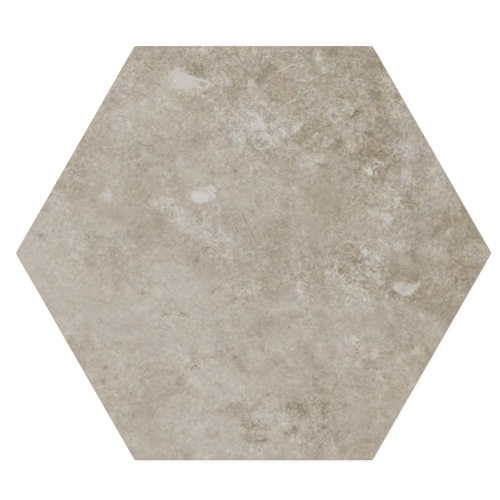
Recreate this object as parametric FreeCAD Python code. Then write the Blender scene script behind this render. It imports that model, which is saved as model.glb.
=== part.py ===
import FreeCAD, Part

import math
import os

# A hexagonal floor tile of dry-pressed, glazed porcelain stoneware, lying face up.
#
# The real tile is pressed and fired as one piece, so it is one solid. Sizes are in millimetres.
# The origin is the middle of the bed plane, on which the ribs of the back rest. +Z is up, out of
# the face. X runs from corner to corner, and Y across the two sides that lie parallel to X.

# Outline of the face, seen from above. Across corners is measured to the sharp corners, before
# they are rounded.
ACROSS_CORNERS = 201.0
ACROSS_FLATS = 175.0
FLAT_SIDE_LENGTH = 100.5
CORNER_RADIUS = 1.2

# Section of the edge, from the face down: the arris is rounded, the side is upright as far as
# the taper, the taper draws in to a smaller back, and the back's own edge is chamfered.
THICKNESS = 9.0
ARRIS_RADIUS = 0.6
TAPER_HEIGHT = 3.5
TAPER_INSET = 0.4
BACK_CHAMFER = 0.4

# Honeycomb of shallow pockets that keys the back into its adhesive. The across-flats size is
# the mouth's, and the draft is how far each wall leans in between the mouth and the floor.
POCKET_ACROSS_FLATS = 14.0
POCKET_DEPTH = 0.6
POCKET_DRAFT = 0.3
RIB_WIDTH = 3.0
BACK_LAND = 3.0

NODE = "hexagon_tile"
LEVEL_TOLERANCE = 1e-6


def outline_corners():
    """The six sharp corners of the face, anticlockwise from the one on +X."""
    reach = ACROSS_CORNERS / 2
    half_side = FLAT_SIDE_LENGTH / 2
    half_flats = ACROSS_FLATS / 2
    upper = [(reach, 0.0), (half_side, half_flats), (-half_side, half_flats)]
    corners = upper + [(-x, -y) for x, y in upper]
    return [FreeCAD.Vector(x, y, 0.0) for x, y in corners]


def corner_arc(before, corner, after):
    """The arc that rounds one corner between the sides to its neighbours."""
    back = (before - corner).normalize()
    onward = (after - corner).normalize()
    inward = (back + onward).normalize()
    half_angle = back.getAngle(onward) / 2
    tangent_length = CORNER_RADIUS / math.tan(half_angle)
    crown_depth = CORNER_RADIUS / math.sin(half_angle) - CORNER_RADIUS
    return Part.Arc(
        corner + back * tangent_length,
        corner + inward * crown_depth,
        corner + onward * tangent_length,
    )


def face_outline():
    """The tile's outline as a closed wire of six sides and six corner arcs."""
    corners = outline_corners()
    arcs = []
    for index, corner in enumerate(corners):
        arcs.append(corner_arc(corners[index - 1], corner, corners[(index + 1) % len(corners)]))
    edges = []
    for index, arc in enumerate(arcs):
        following = arcs[(index + 1) % len(arcs)]
        edges.append(arc.toShape())
        edges.append(Part.LineSegment(arc.EndPoint, following.StartPoint).toShape())
    return Part.Wire(edges)


def edges_at(body, height):
    """The edges of a body that lie wholly in the level plane at a height."""
    level = []
    for edge in body.Edges:
        heights = [vertex.Z for vertex in edge.Vertexes]
        if max(abs(z - height) for z in heights) < LEVEL_TOLERANCE:
            level.append(edge)
    return level


def tile_blank():
    """The pressed body without its pockets."""
    body = Part.Face(face_outline()).extrude(FreeCAD.Vector(0.0, 0.0, THICKNESS))
    body = body.makeChamfer(TAPER_HEIGHT, TAPER_INSET, edges_at(body, 0.0))
    body = body.makeChamfer(BACK_CHAMFER, edges_at(body, 0.0))
    return body.makeFillet(ARRIS_RADIUS, edges_at(body, THICKNESS))


def pocket_corners(centre, across_flats, height):
    """The corners of a hexagon with two sides parallel to Y, so that the ribs are straight."""
    circumradius = across_flats / math.sqrt(3)
    corners = []
    for step in range(6):
        angle = math.radians(30 + 60 * step)
        offset = FreeCAD.Vector(math.cos(angle), math.sin(angle), 0.0) * circumradius
        corners.append(centre + offset + FreeCAD.Vector(0.0, 0.0, height))
    return corners


def flat_face(corners):
    """The flat face inside a closed run of corners."""
    return Part.Face(Part.makePolygon(corners + corners[:1]))


def pocket(centre):
    """The tool that cuts one pocket. It starts as far below the bed plane as it reaches above."""
    below = pocket_corners(centre, POCKET_ACROSS_FLATS + 2 * POCKET_DRAFT, -POCKET_DEPTH)
    floor = pocket_corners(centre, POCKET_ACROSS_FLATS - 2 * POCKET_DRAFT, POCKET_DEPTH)
    faces = [flat_face(below), flat_face(floor)]
    for index in range(len(below)):
        following = (index + 1) % len(below)
        faces.append(flat_face([below[index], below[following], floor[following], floor[index]]))
    return Part.Solid(Part.Shell(faces))


def side_reaches():
    """Each side's outward normal, with the side's distance from the origin."""
    corners = outline_corners()
    sides = []
    for index, start in enumerate(corners):
        along = (corners[(index + 1) % len(corners)] - start).normalize()
        normal = FreeCAD.Vector(along.y, -along.x, 0.0)
        sides.append((normal, normal.dot(start)))
    return sides


def pocket_centres():
    """The centres of the honeycomb's pockets that leave at least the land round the bed."""
    pitch = POCKET_ACROSS_FLATS + RIB_WIDTH
    row_pitch = pitch * math.sqrt(3) / 2
    edge_clearance = TAPER_INSET + BACK_CHAMFER + BACK_LAND + POCKET_ACROSS_FLATS / math.sqrt(3)
    rows = math.ceil(ACROSS_FLATS / 2 / row_pitch)
    columns = math.ceil(ACROSS_CORNERS / 2 / pitch)
    sides = side_reaches()
    centres = []
    for row in range(-rows, rows + 1):
        stagger = (row % 2) / 2
        for column in range(-columns - 1, columns + 1):
            centre = FreeCAD.Vector((column + stagger) * pitch, row * row_pitch, 0.0)
            if all(normal.dot(centre) <= reach - edge_clearance for normal, reach in sides):
                centres.append(centre)
    return centres


def hexagon_tile():
    """The whole tile, as one solid."""
    pockets = Part.makeCompound([pocket(centre) for centre in pocket_centres()])
    return tile_blank().cut(pockets).Solids[0]


def main():
    os.makedirs("parts", exist_ok=True)
    tile = hexagon_tile()
    tile.exportStep(os.path.join("parts", NODE + ".step"))
    box = tile.BoundBox
    print(NODE, "valid", tile.isValid(), "closed", tile.isClosed(), "pockets", len(pocket_centres()))
    print("size", round(box.XLength, 3), round(box.YLength, 3), round(box.ZLength, 3))
    print("volume in cubic centimetres", round(tile.Volume / 1000, 2))


main()
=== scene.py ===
import math

import bpy
import numpy as np
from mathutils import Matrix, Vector, geometry


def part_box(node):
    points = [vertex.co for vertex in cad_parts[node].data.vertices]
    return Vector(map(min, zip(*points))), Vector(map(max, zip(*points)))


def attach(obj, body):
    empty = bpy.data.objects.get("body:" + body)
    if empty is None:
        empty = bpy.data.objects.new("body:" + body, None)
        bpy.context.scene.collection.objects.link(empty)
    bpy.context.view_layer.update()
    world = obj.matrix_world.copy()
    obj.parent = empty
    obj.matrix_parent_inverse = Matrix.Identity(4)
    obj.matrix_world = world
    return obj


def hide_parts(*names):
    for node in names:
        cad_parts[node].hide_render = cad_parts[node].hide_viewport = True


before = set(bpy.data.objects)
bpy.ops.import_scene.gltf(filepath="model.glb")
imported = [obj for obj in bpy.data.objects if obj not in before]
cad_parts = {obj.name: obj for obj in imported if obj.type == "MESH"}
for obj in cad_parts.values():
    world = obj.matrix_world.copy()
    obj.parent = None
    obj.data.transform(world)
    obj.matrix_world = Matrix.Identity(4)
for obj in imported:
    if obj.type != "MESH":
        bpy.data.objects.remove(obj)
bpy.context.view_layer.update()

# The dressed hexagonal floor tile: its glazed stone-look face, its bare sides and its keyed back.
#
# Every size and place here is in millimetres, in the tile's own frame, until a mesh, a lamp or the
# camera is made. The origin is the middle of the bed plane, +X points to a corner and +Z is up.

MM = 0.001
NODE = "hexagon_tile"
BODY = "root"

BOX_LOW, BOX_HIGH = (Vector(corner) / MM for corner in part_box(NODE))
ACROSS_FLATS = BOX_HIGH.y - BOX_LOW.y
THICKNESS = BOX_HIGH.z

# Outline and section, as the tile is pressed.
ACROSS_CORNERS = 201.0
FLAT_SIDE_LENGTH = 100.5
CORNER_RADIUS = 1.2
ARRIS_RADIUS = 0.6
TAPER_HEIGHT = 3.5
TAPER_INSET = 0.4
BACK_CHAMFER = 0.4

# The honeycomb of pockets in the back.
POCKET_ACROSS_FLATS = 14.0
POCKET_DEPTH = 0.6
POCKET_DRAFT = 0.3
POCKET_EDGE_ROUNDING = 0.12
RIB_WIDTH = 3.0
BACK_LAND = 3.0

# How finely the meshes are divided.
SIDE_STEPS = 160
CORNER_STEPS = 6
ARRIS_STEPS = 5
BAND_STEPS = 4

# How the photograph shows the tile.
FRAME_PIXELS = 500
PIXELS_PER_MM = 2.369
TILE_CENTRE_PIXEL = (253.07, 252.6)


# Marks on the face

# Every mark is placed one by one. Levels are shades as a picture's bytes show them, from 0 to 255.
#
# Each soft oval is the place of its middle, half its length, half its width, the angle of its length
# from +X in degrees, and its strength. These strengths are levels that lighten or darken the glaze.

BROAD_TONES = [
    (30, 75, 15, 8, 0, -3), (-45, 62, 26, 14, 30, 3), (40, 62, 48, 36, 0, -5), (-8, 60, 12, 9, -60, 6),
    (-52, 58, 16, 8, 0, 3), (-12, 38, 20, 11, 30, 4), (0, 27, 16, 8, 0, 2.5), (-88, 2, 18, 28, 0, 9),
    (70, 0, 14, 14, 0, -3.5), (84, 0, 22, 34, 0, -9), (80, -22, 10, 10, 0, -4),
    (-50, -30, 60, 45, 0, 4), (-15, -60, 18, 8, 20, 4), (30, 62, 30, 24, 0, -1.6),
    (-55, -45, 45, 26, 0, 1.3), (-70, -10, 20, 20, 0, 0.8), (-45, 20, 30, 18, -20, -1.2),
    (-32, -26, 16, 14, 0, 2),
]

TONES_TOP_LEFT = [
    (-40, 84, 10, 3, 0, -4), (-21, 84, 6, 2, 0, 4), (-14, 84, 6, 4, 0, -2), (-14, 83, 4, 4, 0, -5),
    (-43, 79, 4, 4, 0, -6), (-22.5, 79, 5, 3.5, -20, -20), (-24, 77, 4, 3, 0, -8),
    (-12, 74, 4, 2.5, -50, 6), (-30, 73.5, 6, 4, -10, 18), (-30, 73.5, 4, 3, -20, 8),
    (-20, 71.5, 4.5, 2.5, -10, 4), (-55, 71, 4, 2, 0, 4), (-31, 71, 6, 2.5, 0, 6),
    (-1.5, 70, 2.5, 4, 0, 4), (-7, 69.5, 4.5, 3, 30, -18), (-32, 68, 10, 6, 30, 2.5),
    (-17, 68, 3, 3, 0, -5), (-17, 65, 8, 4, 0, -2), (-39.5, 64.5, 6, 5, 30, 11), (-56, 57, 7, 6, 0, 8),
    (-16, 57, 3, 3, 0, 3), (-29, 54.5, 3.5, 6, -20, 8), (-66, 50, 16, 5, 60, -5),
    (-22, 49, 4, 4, 0, -6), (-6, 47.5, 4, 4, 0, 9), (-38, 43, 12, 6, 0, -5), (-16, 42, 4, 4, 0, 5),
    (-44, 76.7, 14, 4, 0, -6), (-22, 68, 5, 3.5, 0, -7), (-50, 52, 10, 9, 0, 2.5),
    (-46, 46, 8, 3, 0, 3), (-35.5, 46.5, 4, 3, 0, -5), (-24, 43, 3, 3, 0, -3), (-3, 79, 2.5, 3, 0, 4.5),
]

TONES_TOP_RIGHT = [
    (33, 85.5, 7, 4, 0, -12), (45, 84, 5, 4, 0, -10), (28, 82.5, 3, 4, 60, 12),
    (52, 80.5, 5, 5, -40, -20), (40, 78, 12, 7, -60, -6), (4.5, 76.5, 6, 5, 20, -17),
    (27, 74.5, 4, 6.5, 0, -12), (58, 70.5, 5, 3, -60, 10), (13.5, 69, 3.5, 7, 10, -9),
    (9.5, 67, 5, 4, 0, -10), (52, 67, 8, 3, -80, -22), (39, 66, 3, 3, 0, -6), (52, 66, 4, 8, 0, 2.5),
    (2, 64, 3, 2, 0, 6), (60, 61, 7, 3, -60, 9), (36.5, 60.5, 5.5, 3, 0, 14), (18, 60, 3, 2.5, 0, -6),
    (50, 60, 3, 3, 0, 5), (43.5, 59.5, 4, 3.5, 0, -12), (4, 57, 4, 1.5, -50, -5),
    (2, 56, 4.5, 4, -45, 16), (55, 55, 7, 5, -70, -11), (12, 54, 3, 4, 0, 4), (15, 53, 4, 3, 0, 9),
    (5, 52, 16, 6, 0, 2.5), (27, 52, 5, 4, 0, -12), (37, 52, 6, 3, -50, 5), (49, 51, 3, 3, 0, -7),
    (35, 50, 8, 6, 0, 3), (8, 49.5, 5, 3, -45, 14), (21, 49, 4, 3.5, 0, -12),
    (67, 48.5, 6, 2.5, 0, -10), (5, 48, 4, 2.5, -40, 4), (32, 47, 3, 2, 0, 3),
    (35.5, 45.5, 6, 5, 0, -12), (41, 46, 3, 3, 0, 8), (42, 46, 2.5, 3, 0, 5), (65, 44, 5, 4, 60, 18),
    (51.5, 43.5, 8, 5, 0, -26), (4, 42, 7, 3, 0, -11), (13, 79.5, 3.5, 2.3, 0, -5), (4, 83, 7, 3, 0, 4),
    (33, 69, 3.5, 5.5, 0, 6), (0, 62.5, 4, 2.3, 0, 6), (54, 61.5, 4, 4, -30, -6),
    (11.5, 56.5, 6, 3.5, -15, 11), (63, 41.5, 3.5, 3, 0, 7), (17.5, 44, 3, 6, 0, 3),
    (46, 67, 2.5, 2.5, 0, -5),
]

TONES_LEFT = [
    (-66, 40, 6, 3, 0, 3), (-48, 35, 5, 2, 40, -4), (-75, 32, 4, 3, 0, 4), (-57, 31, 7, 3, -60, 4),
    (-77, 28, 8, 4, 60, -12), (-47, 26, 4, 4, 0, -5), (-69, 25, 8, 4.5, -15, -9),
    (-62, 24, 3, 2.5, 0, 15), (-38, 22, 3, 3, 0, 4), (-82, 21, 5, 4, 60, 6), (-40, 21, 4.5, 3, -10, 10),
    (-79, 20, 5, 3, 0, 4), (-88, 19, 3, 3, 0, -3), (-50, 18, 14, 7, -20, -2.5),
    (-76, 15, 4.5, 3, 10, -9), (-69, 14, 3, 4, 0, 5), (-40, 14, 3, 4, 0, -4), (-44, 10, 7, 5, 30, -11),
    (-59, 8, 6, 3, -60, 5), (-90, 7, 3, 3, 0, -5), (-69, 7, 2.5, 2.5, 0, -4), (-34, 6, 4, 4, 0, -3),
    (-52, 2, 3, 2, 0, 5), (-82, 1, 5, 3, 0, -5), (-82, 0, 8, 8, 0, -1.5), (-62, 0, 10, 6, 0, -6),
    (-55, -6, 8, 4, 0, -1.5), (-39, -9, 8, 7, 0, 7), (-76, -13, 4, 4, 0, 2), (-75, -14, 6, 5, 0, 2),
    (-39, -17, 4, 3, 0, 2), (-42, -23, 8, 10, 0, 3.5), (-90, 16, 3.5, 4, 0, 4), (-91, 0, 10, 12, 0, 3),
    (-68, 3.5, 4.5, 2.5, 45, 4), (-65, -8, 8, 6, 30, -4.5),
]

TONES_MIDDLE = [
    (28, 40, 2.5, 2, 0, 7), (24.5, 38, 6, 4, 20, 14), (1, 37, 3, 3, 0, 3), (29, 36, 4, 3, 0, -8),
    (-8, 35, 2.5, 2.5, 0, -5), (17, 35, 3, 4, 0, -6), (-17.5, 27.5, 3, 2.5, 40, 12),
    (-22, 24, 5.5, 3, 0, 26), (32, 24, 9, 7, -80, -12), (-24, 23, 3, 4, 0, 7), (-3, 22, 3, 3, 0, 3),
    (-32, 16.5, 6, 4, -55, 13), (-18, 12, 6, 4, 0, 4), (-11, 11.5, 5, 4, 0, -7),
    (-24, 9.3, 6.5, 3.3, -22, 15), (-12, 5, 7, 3.5, -15, 11), (10, 5, 10, 4.5, 70, -9),
    (-25, 4, 20, 4, -15, -2.5), (2, 4, 9, 7, 0, -4), (24, 4, 3, 6, 0, -3), (-2, 3, 4, 4, 0, -3),
    (26, 3, 7, 7, 0, -2.5), (-23.5, -4, 7, 4, -30, -5), (18, -4, 15, 4, -30, -6), (10, -6, 5, 5, 0, -2),
    (-12, -8, 14, 4, 0, -2), (10, -10, 8, 8, 0, -2.5), (29, -13, 3, 6, 0, -4),
    (5.5, -14.5, 7, 3.5, 85, -9), (18, -14.5, 5, 5, 0, 6), (-30, -15, 6, 4, 0, 6),
    (12, -16, 6, 4, 0, -3.5), (7, 34.5, 3, 3.5, 0, -5), (29, 32.5, 5, 6, 0, -4.5),
    (-0.5, 17, 4, 3, 0, 4), (29.5, 9, 4.5, 3.2, 0, -8), (8.5, 7.5, 10, 4.5, 0, -3.5),
    (-4, -3, 6, 2.5, 0, 3.5), (-11.5, -9, 5, 4.5, 0, -4), (25, -10.5, 6, 4, 0, -3),
    (-21, -14, 7, 3, 0, 3),
]

TONES_RIGHT = [
    (70, 40, 4, 4, -60, -8), (43, 37, 4, 3, 0, -8), (60, 36, 5, 5, 0, -12), (43, 34, 4, 4, 0, -4),
    (48, 34, 3.5, 3, 0, 4), (73, 34, 7, 6, 0, -3.5), (53, 33, 4, 3, 0, -8), (63, 32, 2, 4, 0, 3),
    (64, 32, 4, 3, 0, 12), (71, 32, 4, 6, 0, -4), (78, 30.5, 8, 4.5, -60, 16), (46, 28, 9, 8, 0, -3.5),
    (56, 24, 4, 4, 0, 10), (43.5, 21.5, 3, 3, 0, -8), (54, 22, 2.5, 4, 0, -3), (60, 22, 2.5, 2.5, 0, 6),
    (66, 21, 6, 3.5, -70, -14), (77.5, 20.7, 8, 3, 0, 10), (34, 15, 5, 3.3, 0, -10),
    (35, 15, 10, 5, 0, -2), (56, 15, 5, 3, 0, 17), (83, 10, 5, 4, 0, 7), (84, 10, 3, 2, 0, 3),
    (85, 10, 10, 7, -40, -10), (92, 5, 8, 6, -60, -6), (94, 5, 6, 3, -60, -4), (50, 4, 6, 5, 0, 4),
    (60.5, 3.5, 4, 5, 0, 15), (67, 3, 4, 3, 0, -7), (91, 2, 4, 3, 0, 6), (77, 1, 5, 3.5, 0, 16),
    (94.5, 1, 3, 4, 0, 12), (40.3, -0.5, 5, 7, 0, -14), (52, -3, 3, 3, 0, 4), (64, -6, 2.5, 2.5, 0, 3),
    (38, -7, 4, 4, 0, -5), (64, -7.5, 8, 3.5, 0, -16), (93, -7.5, 5, 4, -60, -10),
    (37, -8, 4, 3, 0, -7), (38, -9, 5, 3, -30, 10), (33, -10, 2, 3, 0, 5), (88, -10, 5, 4, -60, -7),
    (47.5, -14, 6.5, 3.5, 0, -11), (62, -13, 6.5, 6, 0, -9.5), (63.5, -15, 5.5, 2.5, 5, 32),
    (60, -16, 8, 3, 0, -4), (56, -17, 4, 3, 0, -9), (46, -18.5, 7, 4.5, -40, 10),
    (72, -18.5, 5, 4, -40, -16), (55, -20, 2, 5, 0, 4), (74, -24, 5, 2.5, 0, -3),
    (74, 27, 4.5, 3.2, 0, -7), (87, 17, 4.5, 6, -30, -6), (74.5, 13.5, 8, 2.5, 15, -8),
    (87.5, -4, 4, 7, 0, -7), (47.5, -4.5, 2.5, 3, 0, 5), (46, 7.5, 2.5, 4, 0, 4),
    (48, -22, 6, 2.5, 0, 4), (63.5, -1.5, 3.5, 2.5, 0, -2),
]

TONES_BOTTOM_LEFT = [
    (-30, -25, 3, 3, 0, -4), (-25, -25, 6, 5, 0, 5), (-38, -29, 5, 3, 0, 3), (-80, -30, 4, 3, -60, 7),
    (-22, -34, 6, 8, 0, 2.5), (-20, -38, 6, 3, -80, 2), (-31, -41, 5, 4, 0, 6),
    (-71, -41, 5, 5, 0, -5.5), (-29, -44, 3, 3, 0, 3), (-59, -46.5, 5, 4, 0, 7.5),
    (-5.5, -47, 6, 3.5, -30, -8), (-64, -48, 3, 2, 0, -4), (-46, -50, 4, 3, 0, -4),
    (-12, -52, 7, 4, 0, 4), (-25, -54, 6, 5, 0, 8), (-34, -55, 6, 3, 30, -8), (-11, -55, 6, 4.5, 0, 7),
    (-33, -56, 3, 3, 0, -4), (-45, -63.5, 7, 6, 30, -9), (-25, -65, 3, 4, 0, 3),
    (-7, -66.5, 4.5, 3.5, 0, -12), (-32, -74, 9, 7, 0, 5), (-3, -75, 2.5, 5, 0, -7),
    (-14, -76, 14, 6, 0, 6), (-50, -80, 6, 5, 0, 3), (-12, -84, 18, 5, 0, 6), (-64, -30, 5, 7, -20, 5),
    (-33, -38.5, 12, 2.5, 0, 3), (-22, -43, 3, 5, -25, -5), (-10, -44, 5, 4, 0, 4),
    (-54, -57.5, 7, 3, -10, 3), (-60, -63, 5, 4, -40, -4.5), (-56.5, -71.5, 3, 4, -30, 4),
    (-31, -77, 2.5, 5, 0, 3), (-0.5, -73.5, 2.5, 3.5, -40, -6), (-7, -75, 3, 4, 0, 3),
]

TONES_BOTTOM_RIGHT = [
    (7, -25, 3, 2.5, 0, 6), (82, -25, 8, 4, -30, -14), (4, -30, 6, 4.5, 0, -9), (72, -32, 9, 9, 0, 6),
    (63.5, -33, 6, 6, 0, -7), (63, -34, 2.5, 2.5, 0, 5), (71, -34, 3, 2.5, 0, -3),
    (23, -35, 4, 3, -60, 4), (20, -36, 16, 4, 0, 2.5), (41, -37, 4, 3, 0, 8), (70, -38, 8, 8, 0, -2.5),
    (22.5, -41, 8, 5, -70, -7), (28, -42, 3, 3, 0, 3), (40, -43, 6, 6, 0, 2.5), (56, -43, 3, 3, 0, -6),
    (73, -44, 6, 3, 60, -4), (10, -47, 4, 2.5, 0, -5), (37, -47, 5, 3, 0, 2), (31, -54, 2.5, 2.5, 0, 4),
    (28, -55, 5, 5, 0, -9), (46, -56, 4, 2.5, -50, -5), (41, -58, 3, 2, 0, 3),
    (59, -60, 3.5, 3.5, 0, -4), (33.5, -62, 5.5, 5.5, 0, -4.5), (30, -64, 3, 3, 0, -3),
    (19.2, -64.8, 6.5, 4, -20, -16), (0, -65, 3, 2, 45, -5), (29, -65, 5, 5, 0, -12),
    (3, -68, 5, 4, 0, 8), (10, -73, 5, 4, 0, 6), (13, -73, 4, 3, 0, 6), (2.2, -74.5, 8, 2.7, -58, -16),
    (17, -75.5, 4, 3, 0, -9), (17, -79, 3, 3, 0, 4), (34, -79, 10, 6, 0, -6), (50, -80, 10, 8, 0, -5),
    (33, -81, 3, 4, 0, 6), (2, -84, 4, 4, 0, 4), (27, -86, 4, 3, 0, -3), (36, -27, 5, 6, 0, 2.5),
    (31, -34.5, 8, 3, 0, 3), (-1, -39, 3.5, 4, 0, -3), (42.5, -43, 2.5, 4.5, 0, 4),
    (70, -47.5, 5, 3, 40, -4), (57.5, -49, 6, 5, 0, 4.5), (23, -56.5, 4.5, 3, -20, 3.5),
    (66.5, -59, 3.5, 5, -30, 5), (15, -61, 3, 5, 0, -3.5), (5, -71, 5.5, 2.5, -15, 6.5),
    (18, -71.5, 4.5, 2.5, 25, 5), (47, -75, 6, 5, 0, -3), (0, -83.5, 10, 4, 0, 3),
    (27, -83.5, 5, 3.5, 0, 4), (21, -65, 2.2, 4, 0, -7), (15, -66, 1.8, 3, 0, -5),
    (10, -65, 3, 4, 0, 2),
]
TONES = BROAD_TONES + TONES_TOP_LEFT + TONES_TOP_RIGHT + TONES_LEFT + TONES_MIDDLE + TONES_RIGHT
TONES += TONES_BOTTOM_LEFT + TONES_BOTTOM_RIGHT

# Smaller spots and short streaks, and a gain on the strengths of them all.
SPOT_GAIN = 1.15

SPOTS_TOP_LEFT = [
    (-22.5, 86, 5, 1.5, 0, 12), (-39, 83, 1.6, 2, 0, -6), (-21, 82.8, 3.5, 1.6, -15, -12),
    (-30, 82, 2.5, 3, 0, -6), (-15.5, 82, 2, 2, 0, -6), (-11.5, 81, 1.7, 1.8, 0, 8),
    (-20, 79.3, 5.5, 1.8, -10, 10), (-49, 79, 3.2, 1.7, -20, 8), (-10.5, 76.8, 4, 1.6, 15, -8),
    (-33, 76.5, 1.8, 2, 0, 7), (-22.5, 75.7, 5, 1.7, -10, -13), (-4.5, 75, 2, 1.6, 20, -7),
    (-48.3, 74, 2.3, 2.2, 0, -8), (-15, 73.5, 4, 2, -40, 8), (-26, 72.5, 1.8, 1.5, 0, 5),
    (-52, 72, 5, 1.6, 80, 8), (-39, 71.5, 2, 2, 0, 4), (-14, 70, 1.6, 2.5, -20, 5),
    (-17, 69, 2.5, 2, 0, -6), (-8.5, 67.5, 2, 3, 0, -5), (-29, 64.5, 5.5, 1.8, -12, -8),
    (-58.5, 64, 3.5, 3, -40, -9), (-6.8, 63.5, 1.2, 2.5, 0, -6), (-11.5, 61.5, 1.6, 4, 0, -5),
    (-47, 61, 2.5, 2.5, 0, 4.5), (-20.5, 60.5, 2, 2, 0, -8), (-3, 59.7, 2.3, 1.8, 0, 7),
    (-57, 58.5, 2, 2, 0, 5), (-36, 58, 1.6, 3.5, 0, -4), (-4.5, 58, 1.5, 2.5, 0, -3),
    (-22, 57.5, 3, 1.8, 0, -6), (-14.5, 57.5, 4, 1.5, 60, 7), (-50.5, 56.5, 4, 2, 5, -6),
    (-61.3, 54.5, 1.5, 1.8, 0, -6), (-0.5, 53, 5, 1.6, 25, 7), (-13, 51, 3, 2.5, 0, -4.5),
    (-2.3, 47.5, 2, 2.4, 0, -13), (-48.5, 47.3, 1.8, 1.5, 0, -5), (-24, 46.5, 4, 2, 0, -3.5),
    (-71, 46, 3, 2, -60, -4), (-9, 46, 2.5, 1.6, -30, -4), (-66.5, 45.8, 1.6, 2, 0, -4),
    (-0.2, 44, 2.5, 1.3, -45, -9), (-60.3, 41, 3, 3.3, 0, -6), (-51.7, 41.5, 3, 1.8, 30, -4),
    (-43.5, 40.3, 2.2, 1.3, 0, 5), (-31.3, 39.7, 2.3, 2.3, 0, 9), (-5.5, 37.5, 2.5, 2, 0, -4),
    (-68, 36.5, 2.3, 1.8, 0, 5), (-28.5, 36, 4, 1.8, -65, 6), (-78.5, 35.5, 1.6, 1.4, 0, 5),
    (-58.5, 35.5, 2.7, 2.3, 0, 4.5), (-45.5, 35.5, 4.5, 1.8, 35, -6), (-17, 34.7, 2.2, 2.2, 0, -8),
    (-8, 34.5, 2.5, 2, 0, -10), (-38.5, 34, 4.5, 2.2, -25, 7), (-23, 33.2, 3.5, 2, -15, 8),
    (-71, 33, 1.8, 4, 0, -4), (-74, 31, 1.5, 1.5, 0, 6), (-41, 30.5, 1.8, 2, 0, -5),
    (-33, 30.5, 1.8, 2.4, 0, -6), (-52, 29.5, 4, 1.8, -40, -5), (-82, 28.7, 2, 2, 0, -14),
    (-56.5, 28, 3, 2.2, -20, 6), (-5, 27, 3, 1.8, -15, -6), (-15.3, 26, 1.8, 3.5, 25, -6),
    (-46, 24.5, 3, 2, 0, -5), (-61.5, 24, 2.2, 2, 0, 8), (-81, 23.5, 4, 3, 0, 4),
    (-30.5, 23, 2.5, 5, 0, -5), (-37.5, 21.5, 1.6, 3, 0, 7), (-43, 20.8, 2.2, 1.5, 0, 6),
    (-20.3, 20.5, 2.5, 1.5, 20, -7), (-88.5, 18.5, 2, 1.4, -30, -6), (-11.5, 15.8, 2.7, 2, -10, -8),
    (-57.5, 15, 5, 2.3, -30, -6), (-41, 15, 2.5, 1.5, 0, 4), (-23.3, 14.8, 2.5, 2, 30, -8),
    (-71, 14, 1.6, 3, 0, 4), (-39, 13, 1.5, 1.6, 0, -4), (-32, 13, 2, 2, 0, 6),
    (-20.5, 13, 1.8, 2, 0, 6), (-84.5, 10, 1.5, 1.5, 0, -5), (-29, 8.8, 2.5, 1.5, -25, 7),
    (-15, 8.5, 3.5, 1.5, -10, 4), (-49.3, 7.7, 2, 3, 0, -8), (-90, 7, 1.8, 2, 0, -4),
    (-69, 7, 1.2, 3, -30, -4), (-42, 7, 1.5, 3, 0, 5), (-77.3, 6, 2.2, 6, 0, 6.5),
    (-9.5, 6, 3, 2, -20, 5), (-23.5, 5, 2.5, 2.2, 0, -5), (-53, 3.5, 3, 1.2, -10, 5),
    (-45.5, 3.5, 3, 2, 0, -7), (-82.5, 3, 1.8, 2.2, 0, -4), (-4, 3, 3.5, 2, -10, -5),
    (-72.5, 1.5, 2.5, 2.5, 0, 7), (-7.5, 83, 2, 4, 0, -5), (-12, 71, 1.6, 6, 0, 5),
    (-65.5, 34, 2.5, 4, 0, 4), (-35, 25.5, 2.5, 3, 0, -5), (-49, 78, 3.2, 1.3, 0, 6.5),
    (-25, 84.7, 2.3, 1.6, 20, 7), (-18, 74, 1.2, 2, 0, -5.5), (-12, 63.5, 1.2, 2, 0, -5),
    (-26.5, 4, 2, 1.3, 0, -6), (-57.5, 71, 1.8, 1.4, 0, 5.5), (-58, 47, 2, 1.4, 0, -5),
    (-65, 29, 1.5, 1.3, 0, 5.5), (-78, 34.5, 1.4, 1.6, 0, 5), (-86, 6, 2, 1.3, 0, 5),
]

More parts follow.
